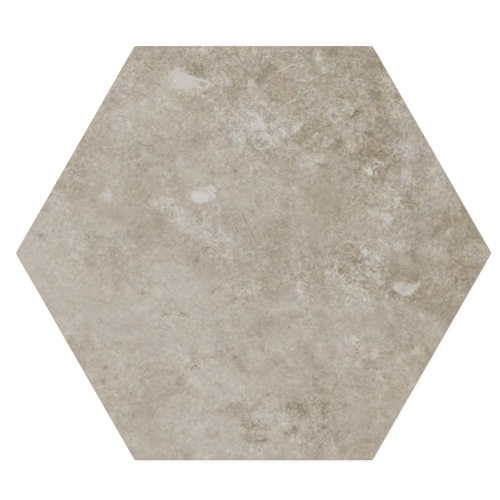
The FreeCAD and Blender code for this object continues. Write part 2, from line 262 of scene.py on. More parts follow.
SPOTS_TOP_RIGHT = [
    (33.5, 84.5, 3, 2, 30, -6), (23.5, 84, 2.4, 3, 0, -7), (27, 82.8, 1.8, 2.2, 0, 14),
    (38.5, 82, 1.5, 1.8, 0, -5), (15, 81, 1.8, 1.4, 0, -6), (43.5, 80, 2.8, 2.2, -20, 10),
    (21, 79.5, 1.8, 1.6, 0, 9), (5.5, 78.5, 3, 1.3, 10, -7), (54, 78.5, 1.5, 2, 0, -6),
    (18.5, 77, 2, 3, 0, 8), (30.5, 78, 4, 1.8, 15, 15), (35.5, 76.5, 2, 1.5, 0, -5),
    (45, 76, 4.5, 1.5, 35, -9), (52, 75, 2, 2.5, 0, 4), (21, 74, 2.5, 1.2, 0, 12),
    (8.5, 73.2, 1.2, 2.3, 0, -4), (2.5, 73, 1.7, 1.4, 0, -5), (15.5, 72.5, 3.5, 1.5, 20, -6),
    (37.5, 72.5, 3.7, 1.4, 55, 8), (-1.3, 71.8, 2.5, 1.5, -45, 8), (51.5, 71.5, 1.3, 2, 0, -5),
    (43.5, 71, 3, 1.8, -10, 10), (54.3, 70.3, 1.7, 1.3, 0, 7), (23.5, 67.7, 2.8, 1.8, -10, 6),
    (54, 66.5, 1.5, 2, 0, -5), (38.5, 66, 4, 1.5, 50, -6), (60.5, 65.5, 2, 2.6, -30, -15),
    (3, 64, 2.3, 1.4, 0, 8), (44.5, 63, 3, 1.4, 15, 6), (40, 62, 3, 1.6, -20, 9),
    (3, 60.5, 2.5, 1.6, 10, -6), (64, 60.5, 3, 1.3, -60, 5), (20, 60, 2, 2, 0, -6),
    (50.5, 60, 1.8, 2, -20, 6), (28.7, 59.7, 1.7, 2.2, 0, -8), (58.5, 59.3, 1.4, 2.8, 0, 9),
    (44, 59, 4.5, 1.4, 25, -10), (32, 58.5, 1.4, 3.2, 0, 7), (37.5, 58, 3.3, 1.2, -5, -9),
    (6, 56, 2, 1.8, 0, -10), (35, 55.5, 4.5, 3, 0, 7), (46.5, 54.5, 1.5, 2.5, 0, 5),
    (23.2, 54.3, 2.2, 1.5, 15, -10), (54, 53.7, 1.4, 1.4, 0, 6), (18.5, 53, 1.4, 3.5, -10, 8),
    (32.5, 53, 2, 1.4, 0, -5), (59, 53, 3, 2.5, 0, -5), (50.5, 52.5, 3.5, 2.2, 30, -6),
    (64, 52.5, 6, 2.2, 15, 8), (12, 52, 1.5, 2, 0, 5), (7.5, 51.5, 1.6, 2.2, 0, -7),
    (56, 50.5, 2, 1.2, 0, -4), (48.5, 50.3, 2, 1.1, 0, -6), (25.5, 50, 1.6, 2.2, 0, 8),
    (19, 49, 2.3, 1.6, 30, -8), (14.3, 48.7, 1.3, 2, 0, -6), (62.5, 48.7, 2.2, 1.3, -20, -6),
    (31.3, 47, 2, 1.6, 0, 8), (46, 46.7, 2, 1.2, 20, -4), (52, 46, 5, 2.2, 0, 5),
    (60.5, 45.3, 2.4, 1.6, -10, 10), (36.5, 45, 1.6, 5, 0, -5), (41, 45, 2.5, 1.4, 35, 5),
    (73, 43.8, 2, 1.1, 0, 6), (32.5, 43.7, 3.5, 1.8, 0, -4), (14, 43.5, 1.2, 2.5, 0, 6),
    (23.3, 43, 1.4, 3.5, 0, -4), (45.5, 42, 3.5, 1.3, -10, -7), (8, 41.2, 2, 1.2, 0, -6),
    (28.7, 41, 2.2, 1.4, -20, 8), (70.5, 40, 1.8, 2.8, 0, -8), (52, 39, 2.8, 1.4, 0, 9),
    (61.2, 39, 1.5, 1.5, 0, -5), (77, 38.5, 4, 1.6, -60, 6), (19.7, 38, 1.4, 2, 0, 8),
    (43.7, 37.5, 1.3, 1, 0, 6), (1, 37, 2.5, 1.2, 0, 6), (6.5, 37, 2.3, 1.6, 0, -4),
    (15.5, 37, 2.3, 4, 15, -5), (57, 37, 1.4, 1.4, 0, -6), (39.5, 37, 4, 2, 0, -9),
    (29, 36, 2.3, 1.8, 0, -11), (48.5, 35, 1.5, 2.3, -20, 10), (44.7, 34.7, 2.3, 1.4, 0, -8),
    (24.5, 34, 2.3, 1.8, 0, 5), (57.7, 33, 2, 1.4, -40, 5), (64.5, 33, 1.6, 4, 0, 6),
    (52.5, 32.5, 2, 3.5, 0, -7), (13, 31.5, 1.8, 2, 0, -4), (38.3, 31.5, 1.6, 1.5, 0, -6),
    (67.5, 31.5, 1.7, 1.6, 0, -5), (3.5, 31, 1.3, 2, 0, 5), (74, 31, 2, 2.5, 0, -3.5),
    (42.3, 30, 1.4, 3, 0, 9), (82.3, 28.7, 1.6, 2.5, -30, -14), (21.2, 28, 1.4, 1.1, 0, -5),
    (49.3, 27.5, 1.6, 1.6, 0, 5), (17, 27.2, 2, 1.6, 0, 7), (34.5, 27, 2.3, 4, 0, 3.5),
    (5.5, 26, 1.5, 1.5, 0, -5), (46, 24.5, 2.5, 1.4, 15, -5), (8.5, 24, 1.6, 5, 10, 5),
    (52.5, 24, 1.4, 2.3, 0, -6), (77.5, 24, 3, 1.8, 0, 4.5), (68.5, 23.7, 2.5, 1.4, -30, 4),
    (26.5, 23.5, 2, 5, 0, -5), (60.5, 22.5, 2, 1.8, 30, 8), (-0.3, 22, 1.3, 2.2, 0, -6),
    (12.3, 20.7, 1.7, 1.4, 0, -4), (19, 19.5, 3.5, 2.5, 0, 4), (46, 19.5, 1.8, 1, 0, -6),
    (88.5, 18.5, 3.5, 1.6, -60, -7), (73, 17.5, 1.5, 2.5, 0, 5), (83.7, 17.5, 1.3, 1.3, 0, 5),
    (39.2, 17.3, 1.6, 1.3, 0, 7), (51, 17.3, 3.2, 1.3, 0, 10), (9, 16.8, 2, 1.2, 0, 5),
    (42.5, 16.8, 1.8, 2, 0, 5), (57, 15, 2, 1.3, 0, 7), (81.7, 14.3, 3.2, 1.6, -35, -9),
    (60.3, 14.2, 1.7, 1.6, 0, -10), (12.5, 13.7, 5, 1.7, 15, -5), (91.7, 13, 3, 1.3, -60, -7),
    (27, 11, 2, 1.6, 0, -6), (82.3, 9.7, 2.3, 1.5, -40, 11), (48.5, 9.5, 4, 1.2, 0, -4),
    (64, 9, 1.5, 1.5, 0, 7), (77.3, 9, 1.9, 1.9, 0, -13), (89, 9, 2.3, 1.3, 0, 7),
    (21, 8.5, 2, 1.9, 0, 8), (13.5, 8.3, 3.5, 1.6, 10, -6), (37.7, 8, 1.3, 2.2, 0, 5),
    (68.7, 8, 1.3, 3, 0, -6), (33, 7.5, 1.8, 1.6, 0, 7), (44.5, 7, 1.4, 2, 0, 5),
    (58.3, 6.5, 1.6, 2, 0, -5), (65.5, 5, 1.2, 1.6, 0, 4), (31.5, 3.7, 3, 1.3, 25, -6),
    (61, 3.7, 2, 1.2, 0, 9), (3.3, 3.3, 2, 1.4, 0, 6), (12, 3, 3.5, 2.3, 0, 5),
    (39.5, 3, 3.5, 1.2, -15, -6), (91, 3, 1.6, 4, -15, 12), (24, 2.8, 2, 1.6, -20, -7),
    (94, 2, 1.2, 1.8, 0, -10), (98, 1, 1.4, 3, 30, 8), (47, 0.7, 1.4, 1.5, 0, 10),
    (67.3, 0.5, 1.5, 2.5, 0, -6), (4.5, 0, 2, 2, 0, -6), (28.2, -0.8, 2, 2.2, 0, -7),
    (19.5, 85.5, 3, 2.2, 0, -8), (13.5, 85.5, 2, 2, 0, 7), (34, 79, 3, 2.5, 0, 5),
    (20.5, 66.5, 3, 3.5, 0, 5), (20.5, 58.5, 2.5, 3.5, 20, -5), (27.5, 56, 3.5, 2.5, 0, 4),
    (54.5, 55, 3, 2.5, 0, 5), (48, 47.5, 2, 4, 0, -4), (46, 41, 5, 2.5, 0, 5), (62.5, 31, 2, 2, 0, 6),
    (73, 3, 2.5, 2, 0, -5), (28.5, 51, 1.4, 1.9, 0, -8), (37, 58, 1.6, 1.3, 0, -8),
    (53.5, 50.5, 1.9, 1.6, 0, -8), (56, 39, 3, 2, 0, -5), (60, 34, 2.2, 1.6, 0, -7),
    (64.5, 19, 2.6, 2, 0, -5), (46, 30, 1.6, 1.3, 0, -7), (53, 24, 1.6, 1.3, 0, -6),
    (36.5, 7.5, 1.9, 1.3, 20, 6), (15, 80.7, 4, 1.4, 15, -5.5), (38.5, 76.5, 5, 1.4, -15, -5.5),
    (28.5, 39, 2, 1.6, 0, 5), (8, 58.5, 2, 1.3, 0, 6), (54.5, 54.5, 1.6, 1.2, 0, 5),
    (65, 24, 1.8, 1.3, 0, 6), (6, 38.5, 1.6, 1.2, 0, 7), (2.7, 46.5, 2, 1.2, -20, 6),
    (48.3, 1.3, 2.1, 1.4, -40, -7), (53.5, 44.5, 2, 1.3, 0, -5), (59, 64, 1.6, 1.4, 0, -5),
    (43.5, 48.5, 1.3, 1.5, 0, 5.5), (51, 66.5, 1.5, 1.6, 0, 5),
]

SPOTS_BOTTOM_LEFT = [
    (-49.5, -1.3, 3, 1.3, 10, -5), (-10, -1.8, 1.5, 3, 0, 10), (-33.5, -2.5, 2.5, 1.3, -20, -5),
    (-26, -2.8, 2.8, 1.5, -30, -6), (-69.7, -3.7, 2.6, 2.8, 0, -10), (-16.5, -4, 1.6, 2, 0, -4),
    (-57.5, -4.5, 1.6, 2.2, 0, -4), (-94.5, -5, 1.8, 2.5, 0, 6), (-5.8, -5.3, 1.2, 2, 20, -7),
    (-1, -5.3, 1.8, 2, 0, -6), (-29.5, -6.5, 2.3, 3, 20, 9), (-38, -7, 2.3, 2.3, 0, 6),
    (-47.5, -8, 3, 3, 0, -4), (-16, -8.5, 3, 1.8, 20, -6), (-23, -9, 2.2, 1.2, -25, -6),
    (-55.5, -9.5, 1.4, 2.5, 0, -6), (-88, -9.7, 3, 1.5, -15, -6.5), (-84.8, -12, 1.8, 1.8, 0, -7),
    (-77, -12, 3.5, 2.3, 0, 4), (-43.8, -13, 1.2, 2, 0, -5), (-61.7, -15, 1.9, 1.9, 0, 8),
    (-57.5, -15, 1.5, 3, 0, -6), (-25, -15, 3.5, 3, 0, 6), (0.3, -15, 2.3, 2.5, 0, 12),
    (-40.5, -16, 1.5, 3, 0, 4), (-17.3, -16, 1.7, 1.7, 0, -10), (-6.8, -16, 1.3, 1.5, 0, 12),
    (-53, -17, 1.8, 3.5, 0, 5), (-46.5, -17, 2, 1.5, 0, -9), (-28.5, -18.5, 2, 1.8, 0, 5),
    (-8.7, -18.5, 2.7, 1.4, -50, -8), (-2, -18.5, 1.3, 1, 0, -5), (-88.5, -19, 1.6, 1.7, 0, -7),
    (-63.5, -20.5, 3, 1.3, -25, -5), (-78.3, -21.3, 1.7, 1.7, 0, -6), (-9.7, -21.5, 1.2, 2.5, 0, -4),
    (-4.7, -22, 1.3, 1.2, 0, -6), (-46, -22.5, 3.3, 1.7, 0, 6), (-33, -23.5, 4.5, 1.2, -5, -5),
    (-17.5, -23.8, 1.9, 1.9, 0, -6), (-7, -25.5, 2.2, 1.3, 0, 6), (-37.7, -25.7, 1.9, 1.7, 0, -12),
    (-29, -26, 1.6, 1.2, 0, -5), (-55.7, -26.5, 1.9, 1.7, 0, 6), (-12, -27, 1.6, 1.6, 0, 4),
    (-80.5, -28, 3, 1.4, 0, 4), (-74.7, -28, 2.2, 1.7, 0, 8), (-4, -28, 2, 1.6, 0, 5),
    (-64.3, -29, 1.5, 1.7, -30, -5), (-36.3, -29, 2.3, 1.2, -50, 7), (-8.5, -29, 2.5, 1.4, -20, -6),
    (-52, -31, 5.5, 1.5, 5, -5), (-70.3, -31.5, 2, 1.7, 0, -6), (-77.5, -33, 1.8, 1.8, 0, 4),
    (-32.5, -33, 5, 1.6, -20, 5), (0, -34.7, 4.5, 1.8, 15, -6), (-67, -35, 1.5, 2.5, 0, 4),
    (-52.5, -35.3, 4, 1.5, 5, 6), (-9, -35.5, 1.5, 1.5, 0, 6), (-31, -37, 3, 1.5, -20, -5),
    (-69.5, -37.5, 2.5, 2.3, 0, -5), (-77.3, -38, 1.8, 2, 0, -12), (-57, -38.5, 1.3, 1.3, 0, -4),
    (-49.7, -39.7, 2.7, 1.8, 10, -7), (-11.2, -39.8, 1.8, 1.3, 0, -8), (-35.5, -41, 1.5, 4, 0, 4),
    (-21.3, -41, 2.2, 1.2, -20, 10), (-4.5, -42.3, 1.5, 1.2, 0, -5), (-41.5, -42.5, 2.2, 1.2, 15, -4),
    (-13.5, -43, 1.5, 2, 0, -9), (-25, -43.5, 2, 1.8, 0, -10), (-8, -43.5, 1.5, 1.5, 0, -8),
    (-28.7, -44.8, 1.3, 2, 0, 11), (-24, -46.5, 1.6, 1.6, 0, -6), (-18.3, -46.7, 2.7, 1.4, 20, 10),
    (-62.8, -48.3, 1.7, 1.5, 0, -8), (-56.5, -48, 1.8, 3, 0, 5), (-40.3, -48.5, 3, 1.2, -60, -6),
    (-1.7, -48.7, 2, 1.5, -45, 10), (-5, -49, 3.3, 1.2, -55, -8), (-16.5, -49.5, 1.2, 1.4, 0, 6),
    (-35.5, -50.3, 2.5, 1.2, 5, -8), (-70, -51, 2.5, 1.3, -60, 7), (-46.5, -51, 1.3, 3, -20, -5),
    (-61.3, -51.7, 1.3, 1.1, 0, 5), (-58, -52.2, 1.3, 1.3, 0, -6), (-39, -53, 1.2, 2, 0, -4),
    (-27, -53, 2, 2, 0, 9), (-64, -53.5, 1.3, 1.6, 0, -6), (-50.5, -53.5, 1.6, 2, 0, 5),
    (-35, -54, 1.8, 1, 0, 6), (-15, -55.5, 3.5, 1.5, -20, -6), (-32.3, -56, 2, 1.3, 30, -7),
    (-4.5, -57, 3, 2.5, 0, 3), (-27.3, -57.7, 2.2, 1.6, 0, -7), (-64.3, -59, 2, 2, 0, 5),
    (-36.5, -60.7, 2.2, 1.3, -10, -5), (-11, -60.7, 2, 1, 0, 5), (-20.5, -61, 3, 1.5, 0, -4),
    (-54.5, -61.5, 4, 1.3, 30, -6), (-31, -61.5, 1.8, 2, 0, 4), (-6.5, -62, 4.5, 1.3, -10, 6),
    (-15, -62.5, 1.6, 2, 0, 7), (-8, -65, 3.2, 1.3, 0, -6), (-53.5, -66, 3.5, 1.3, 10, 7),
    (-26, -66.5, 4, 1.3, 60, 6), (-59.7, -68, 3, 1.2, -60, 8), (-14, -68, 1.7, 1.4, -20, -6),
    (-49.5, -68.3, 2.2, 1.5, 0, -9), (-44, -68.5, 2.2, 1.6, -20, -6), (-14, -71, 6, 1.5, -5, 4),
    (-38.5, -71.5, 1.9, 1.7, 0, 6), (-31, -73.5, 1.8, 1.4, 0, 6), (-53, -74.5, 2.2, 1.5, -20, -5),
    (-22, -74, 4, 2, 50, 7), (-44.3, -76, 1.4, 2.8, 0, -6), (-17.5, -77, 3, 1.7, -10, -11),
    (-34.5, -77.5, 1.5, 3.3, 0, -6), (-9.5, -78, 1.8, 3, -20, -5), (-1.5, -78.3, 3.3, 1.5, -40, -11),
    (-50.8, -79, 3.5, 1.8, -50, 7), (-41, -79.3, 2.5, 1.2, 0, -6), (-29.5, -79.3, 2.2, 1.6, 0, 5),
    (3, -79.5, 3, 1.1, 0, -12), (-40.5, -84, 4, 1.4, 0, 4.5), (-29.5, -84.5, 3, 1.7, -20, -5),
    (-20.5, -86.3, 4, 1, 0, 12), (-2, -57.5, 2.5, 5, 0, 6), (-9, -72, 4.5, 2.5, 0, 5),
    (-1, -75.3, 2.6, 1.5, 0, -7), (-6.5, -14.2, 1.6, 1.6, 0, 6), (-43.3, -62.3, 1.9, 1.5, 0, -5),
    (-20.5, -79, 2.4, 1.2, 0, 6), (-29.3, -56.5, 1.6, 1.8, 0, 5), (-30.5, -14.7, 1.3, 1.6, 0, -4.5),
    (-57.5, -41.8, 2.4, 1.2, -15, -5), (-5, -47.5, 4.2, 1.4, -55, -7), (-9, -65.2, 2.6, 2, 0, -6),
]

SPOTS_BOTTOM_RIGHT = [
    (67, -1.3, 2, 1.3, -50, -9), (81, -1.3, 1.9, 1.4, 0, 8), (52, -2.3, 3.3, 1.3, 45, 9),
    (58, -3, 2.2, 2.5, 0, -7), (19.3, -3.3, 1.8, 1.5, -20, 8), (70.5, -3.5, 2.3, 1.4, -20, -10),
    (43.2, -4, 1.7, 2.4, 0, -16), (12, -5, 3, 1.8, -10, -6), (64.5, -5, 1.9, 1.3, 0, 7),
    (54.5, -5.7, 5, 1.3, 10, -7), (83, -6, 2, 1.2, 0, -6), (37, -7.5, 2.3, 1.3, -50, -8),
    (64.5, -8, 3.5, 2, 0, 4), (89.3, -8.3, 2.5, 1, 0, -9), (27, -9, 2.8, 1.4, 15, -8),
    (76.3, -9, 3, 1.5, 15, 8), (34.5, -9.5, 4, 1.2, -35, 9), (58, -10, 1.4, 3, 10, -8),
    (52.7, -10.3, 2, 2, 0, 16), (81.7, -10.7, 1.4, 2.2, 0, 10), (41.2, -11, 2, 1.2, -20, -10),
    (86, -11.7, 1.2, 2.5, -20, -11), (66.5, -11.8, 2.3, 1.1, 15, -12), (6.3, -12.5, 1.8, 1.8, 0, -5),
    (54.5, -13, 1.5, 1.8, 20, 6), (23, -14, 1.1, 2, 0, -8), (61.2, -14, 1.4, 1, 0, 11),
    (50, -14.3, 3.5, 1.2, -60, -8), (90.5, -15, 1.3, 1.3, 0, -13), (40, -15.2, 3, 1.3, -5, 6),
    (14, -15.3, 1.8, 2.3, 30, -6), (66.5, -15.3, 3.5, 1.2, 40, 12), (19.5, -15.5, 1.5, 1.8, 0, 10),
    (71, -15.5, 1.4, 2.2, 0, -7), (88, -15.7, 1, 2.2, 0, 8), (59, -16.5, 1.4, 3, -20, -9),
    (79, -15.5, 3.3, 2.2, -10, -8), (85, -17, 1.1, 2.2, 0, -9), (29.3, -17.5, 1.5, 2.2, 10, -9),
    (56, -18.5, 2, 1.3, 0, 9), (62.5, -18.7, 3.3, 1.1, -25, -10), (21, -19, 2, 3, -20, 7),
    (51, -19, 1.5, 1.2, 0, -9), (67.7, -19, 1.6, 1.7, 0, -12), (81.3, -19, 1.5, 1.1, 0, 5),
    (4.5, -19.7, 3, 1.4, 0, 6), (8.8, -20, 1.4, 2, 0, -5), (76.5, -20.3, 2.2, 1.4, 0, 10),
    (17.5, -22, 2.5, 1.5, 20, 6), (31.7, -22, 1.2, 2, 0, -6), (39.5, -22, 1.8, 2.2, 0, 9),
    (73, -24, 1.7, 1.5, 0, -9), (10, -24.5, 6, 1.2, 10, 6), (53.5, -24.5, 1.5, 3.5, 0, -12),
    (56.8, -25, 1.3, 2, 0, 8), (60.8, -26, 1.2, 2, 0, -7), (17.5, -27, 2.8, 1.3, 0, -9),
    (40.3, -27, 1.7, 1.5, 0, -6), (71.5, -27, 2, 1.4, 0, 5), (80, -27.5, 2, 1.4, -60, -8),
    (48, -28, 3, 1.4, 0, -5), (75, -28.7, 4.3, 2, -55, 9), (7, -29, 1.9, 1.5, 20, -8),
    (58.3, -30, 1.5, 1.2, 0, -6), (28.8, -30.5, 1.5, 4, 0, -7), (18.5, -31, 2, 1, 0, 5),
    (36.7, -31, 2.5, 1, 0, 8), (49.7, -32.5, 2, 2.2, 0, 7), (79, -33.5, 3, 1.5, -60, 6),
    (64.5, -33.8, 2.7, 1.6, 0, 6), (22, -34, 2.5, 2, 40, 4), (70, -34.3, 2.5, 1.5, -20, -7),
    (58, -36, 1.8, 2, 0, -12), (47.7, -36.5, 1.7, 1.2, 0, -8), (54, -36.5, 1.2, 1.6, 0, 5),
    (42.3, -37, 1.8, 1.7, 0, 14), (15.3, -38, 1.4, 2.5, 0, 6), (35.5, -38, 2, 1.4, -30, 6),
    (22.8, -38.7, 1.7, 1.4, 0, -9), (65, -39, 3.5, 1.4, 10, -10), (10.5, -39.5, 2.3, 2.2, 0, 8),
    (3.7, -40.5, 1.2, 1.3, 0, -7), (27, -40.5, 1, 2, 0, 5), (69, -40.7, 1.9, 1.7, 0, 12),
    (51.3, -42, 1.3, 2.8, 0, 12), (73.8, -42, 3, 1.1, -65, -12), (18, -42.3, 2, 1.1, -10, -6),
    (1, -42.5, 3, 2, -40, 8), (57, -42.5, 2.7, 1.5, -25, -8), (28.7, -43, 1.7, 1.2, 0, 9),
    (33.5, -43.5, 1.1, 2, 0, -6), (62, -45, 2.6, 1.6, 35, 7), (15.3, -45.5, 1.8, 1.6, 0, 10),
    (24.7, -45.5, 1.2, 2.5, 0, -7), (48.7, -46, 2.2, 1.6, -20, -9), (2, -46.3, 2.5, 2.2, 0, 5),
    (66, -46.5, 2, 1.3, 0, -6), (10.3, -46.7, 3.5, 1.2, 35, -7), (42.5, -47, 2.5, 1.4, 0, 7),
    (71, -47, 2.5, 1.3, -20, -8), (36.5, -47.5, 2, 1.7, 0, 8), (27.5, -48, 2.7, 1.4, -15, -6),
    (51.3, -48, 1.8, 1.5, -45, -9), (15.5, -49, 3, 1.2, -10, -9), (63.5, -49.3, 1.9, 1.3, 0, 9),
    (37.7, -50.5, 1, 1.5, 0, 6), (42, -51.3, 1.7, 1.6, 0, -7), (31.5, -51.5, 3, 1, -10, -5),
    (53, -52, 1.5, 1.7, 0, 14), (57, -52, 1.3, 1.3, 0, -7), (8.5, -53, 1.6, 1.7, 0, 8),
    (12, -53.5, 1.2, 1.8, 0, -6), (17, -54.5, 1.4, 2.4, 0, 9), (60, -54.5, 1.8, 1, 0, 6),
    (34.7, -55, 1.3, 4, 10, -7), (67, -55, 4, 1.2, 60, 10), (30.2, -55.5, 2.3, 1.4, -40, 12),
    (26, -56, 1.4, 3, 0, -8), (45.7, -56, 1.7, 2.3, 20, -8), (22, -57.5, 2, 1.3, 0, 5),
    (29, -58.5, 2.5, 1.1, -20, -9), (58.5, -58.5, 1.7, 3, -10, -6), (41, -59, 3, 1.6, -30, 7),
    (6, -59.5, 1.2, 1, 0, -7), (24, -61, 3.5, 1.2, 10, 6), (31.7, -61, 1.5, 1.2, 0, 5),
    (52.3, -62, 1.9, 1.4, 0, 5), (5.5, -62.3, 1.6, 1.5, 0, 8), (9.7, -62.3, 1.6, 1.5, 0, 10),
    (37.7, -64, 1.5, 4, 0, -6), (1, -64.5, 4, 1.4, 50, -9), (15.5, -66, 2.5, 1.2, 0, -6),
    (25.5, -66, 1.4, 1.9, 0, 10), (21.3, -66.7, 2.8, 1.3, -25, -9), (42.5, -68, 3, 2, -30, 6),
    (55.2, -68, 1.6, 1.4, -30, -10), (1.3, -69.3, 3, 1.2, 20, 12), (13.3, -69.5, 1.5, 3, 20, 8),
    (34, -70, 1.1, 2, 0, -6), (52.5, -70, 1.2, 2.4, 0, 6), (48, -70.7, 3, 1.7, 40, -6),
    (17.5, -71, 1.3, 2, 0, 7), (13, -73, 3, 1.2, 0, 6), (21, -74, 1.2, 4, 0, 7),
    (29.5, -74.3, 1.9, 1.7, 0, -15), (17.5, -74.7, 1.6, 2.3, 10, -14), (37, -75, 2.5, 1, 10, -6),
    (3.2, -76, 3.3, 1.1, 0, 16), (50.5, -76, 1.4, 1.2, 0, 6), (13.5, -76.3, 1.7, 1.5, 0, -14),
    (9, -77, 1.8, 2.5, 0, 6), (34.3, -77.2, 1.5, 2.2, 0, -12), (24.5, -78, 1.7, 1.5, 0, -8),
    (40.7, -78, 1.6, 2.4, 0, 10), (17, -78.3, 2.2, 1.1, 0, 11), (48, -79, 4, 1, 0, -6),
    (37.5, -79.7, 1.2, 2, 0, 6), (24.5, -82, 1.5, 1.2, 0, 6), (2.7, -82.3, 2.5, 1.4, -10, 10),
    (27.7, -82.3, 1.3, 2, 0, -10), (32.5, -82.5, 1.6, 3.3, -10, 9), (43.8, -83, 1.5, 1.6, 0, -9),
    (48.5, -83, 1.8, 1.4, -20, 6), (8.5, -84, 2.3, 1.6, -30, 8), (12.3, -84.5, 1.4, 2.5, 0, -6),
    (18, -85, 1.6, 2, 0, 6), (26.5, -86, 2.5, 1.2, 0, -8), (17, -11, 2, 3, 0, 5),
    (17.8, -20, 2, 3.5, 0, 7), (78.5, -20.5, 4, 2, 0, 5), (52.3, -36.5, 3, 3, 0, 5),
    (20, -65.5, 2, 1.9, 0, 6), (2.6, -71.8, 3.2, 1.5, -45, 7), (6, -13.6, 1.9, 1.3, 20, -6),
    (5, -18.5, 4, 1.3, 10, 5), (45.5, -21, 4, 1.2, -10, 5), (65, -2.5, 2.5, 3, 0, 4.5),
    (63, -18, 1.6, 1.4, 0, -6), (72.5, -23.5, 1.2, 2, 0, -5), (48, -54, 1.1, 2.2, 25, 5.5),
    (40.5, -33.8, 1.6, 1.3, 0, -5),
]
SPOTS = SPOTS_TOP_LEFT + SPOTS_TOP_RIGHT + SPOTS_BOTTOM_LEFT + SPOTS_BOTTOM_RIGHT

# Levels of red over blue beyond what the tone brings: warmer above nought and greyer below.
WARMTHS = [
    (-5, 85, 8, 4, 0, 4), (-23, 70, 4, 1.5, -20, 3), (-4.5, 47.5, 1.2, 1.8, 0, 6),
    (-30, 72, 4, 3, 0, -3), (-13, 74, 5, 2.5, -30, 3), (-41, 70, 6, 6, 0, 2), (-38, 57, 26, 5, -8, 1.8),
    (-2, 49, 10, 5, 0, -5), (12, 52, 4, 5, 0, -1.5), (15, 43, 8, 3, 0, -1.5), (12, 77, 4, 4, 0, 3),
    (12, 67, 5, 8, 0, 2), (29, 41, 6, 3, 0, 4), (32, 48, 2.5, 4, 0, 3), (45, 57, 12, 3, 20, 1.8),
    (35, 72, 4, 12, 0, 1.8), (55, 73, 4, 4, 0, 3), (28, 75, 3, 3, 0, -2.5), (21, 71, 3, 3, 0, -1.5),
    (25, 63, 3, 4, 0, -1), (48, 65, 5, 3, 0, -1.2), (15, 26, 7, 6, 0, 2.2),
    (-22, 22, 7, 3.5, -15, -4.5), (-22, 16, 3, 4, 0, -1.5), (-10, 13, 3.5, 4, 0, -2.2),
    (-53, 8, 5, 5, 0, -2.3), (-68, 8, 5, 3, 0, -2.3), (-53, 23, 4, 4, 0, 1.8), (-80, 22, 4, 5, 0, 2.2),
    (-45, 42, 12, 8, 0, -1.2), (70, 15, 7, 12, 0, -2.3), (73, 10, 3, 8, 0, -1.5),
    (60, 1, 8, 4, 0, -2.2), (53, -6, 3, 3, 0, -2.2), (70, 40, 8, 5, -40, -2.2),
    (65, 55, 6, 5, -60, -1.5), (83, 12, 3, 7, 0, 2.6), (90, -2, 6, 5, 0, 1.3), (95, 4, 4, 3, -60, -2),
    (10, 4, 20, 7, 0, -1.5), (24, 3, 4, 3, 0, -1.2), (3, -27, 5, 4, -60, -2.4),
    (-12, -24, 12, 6, 0, -1.1), (-15, -37, 4, 6, 0, -1.2), (-6, -17, 4, 3, 0, 2.6),
    (64.5, -14.5, 6, 3, 0, 2), (-30, 73.5, 5, 4, 0, -1), (72, -25, 6, 12, 0, 1.8),
    (77, -35, 4, 4, 0, 1.5), (60, -53, 10, 9, -20, 2.8), (52, -65, 7, 7, 0, 1.5),
    (-47, -43, 14, 5, 0, -1.2), (-30, -52, 6, 4, -20, 2), (-47, -53, 4, 4, 0, 1.2),
    (-60, -58, 4, 6, 0, 1.8), (0, -53, 8, 6, 0, 1.5), (20, -82, 14, 4, 0, 1.3),
    (-88, -11, 4, 5, 0, 1.8), (-60, -16, 22, 4, 0, 0.9), (28, -86, 3, 3, 0, -1.5),
    (17, -64, 3, 4, 0, -1.3),
]

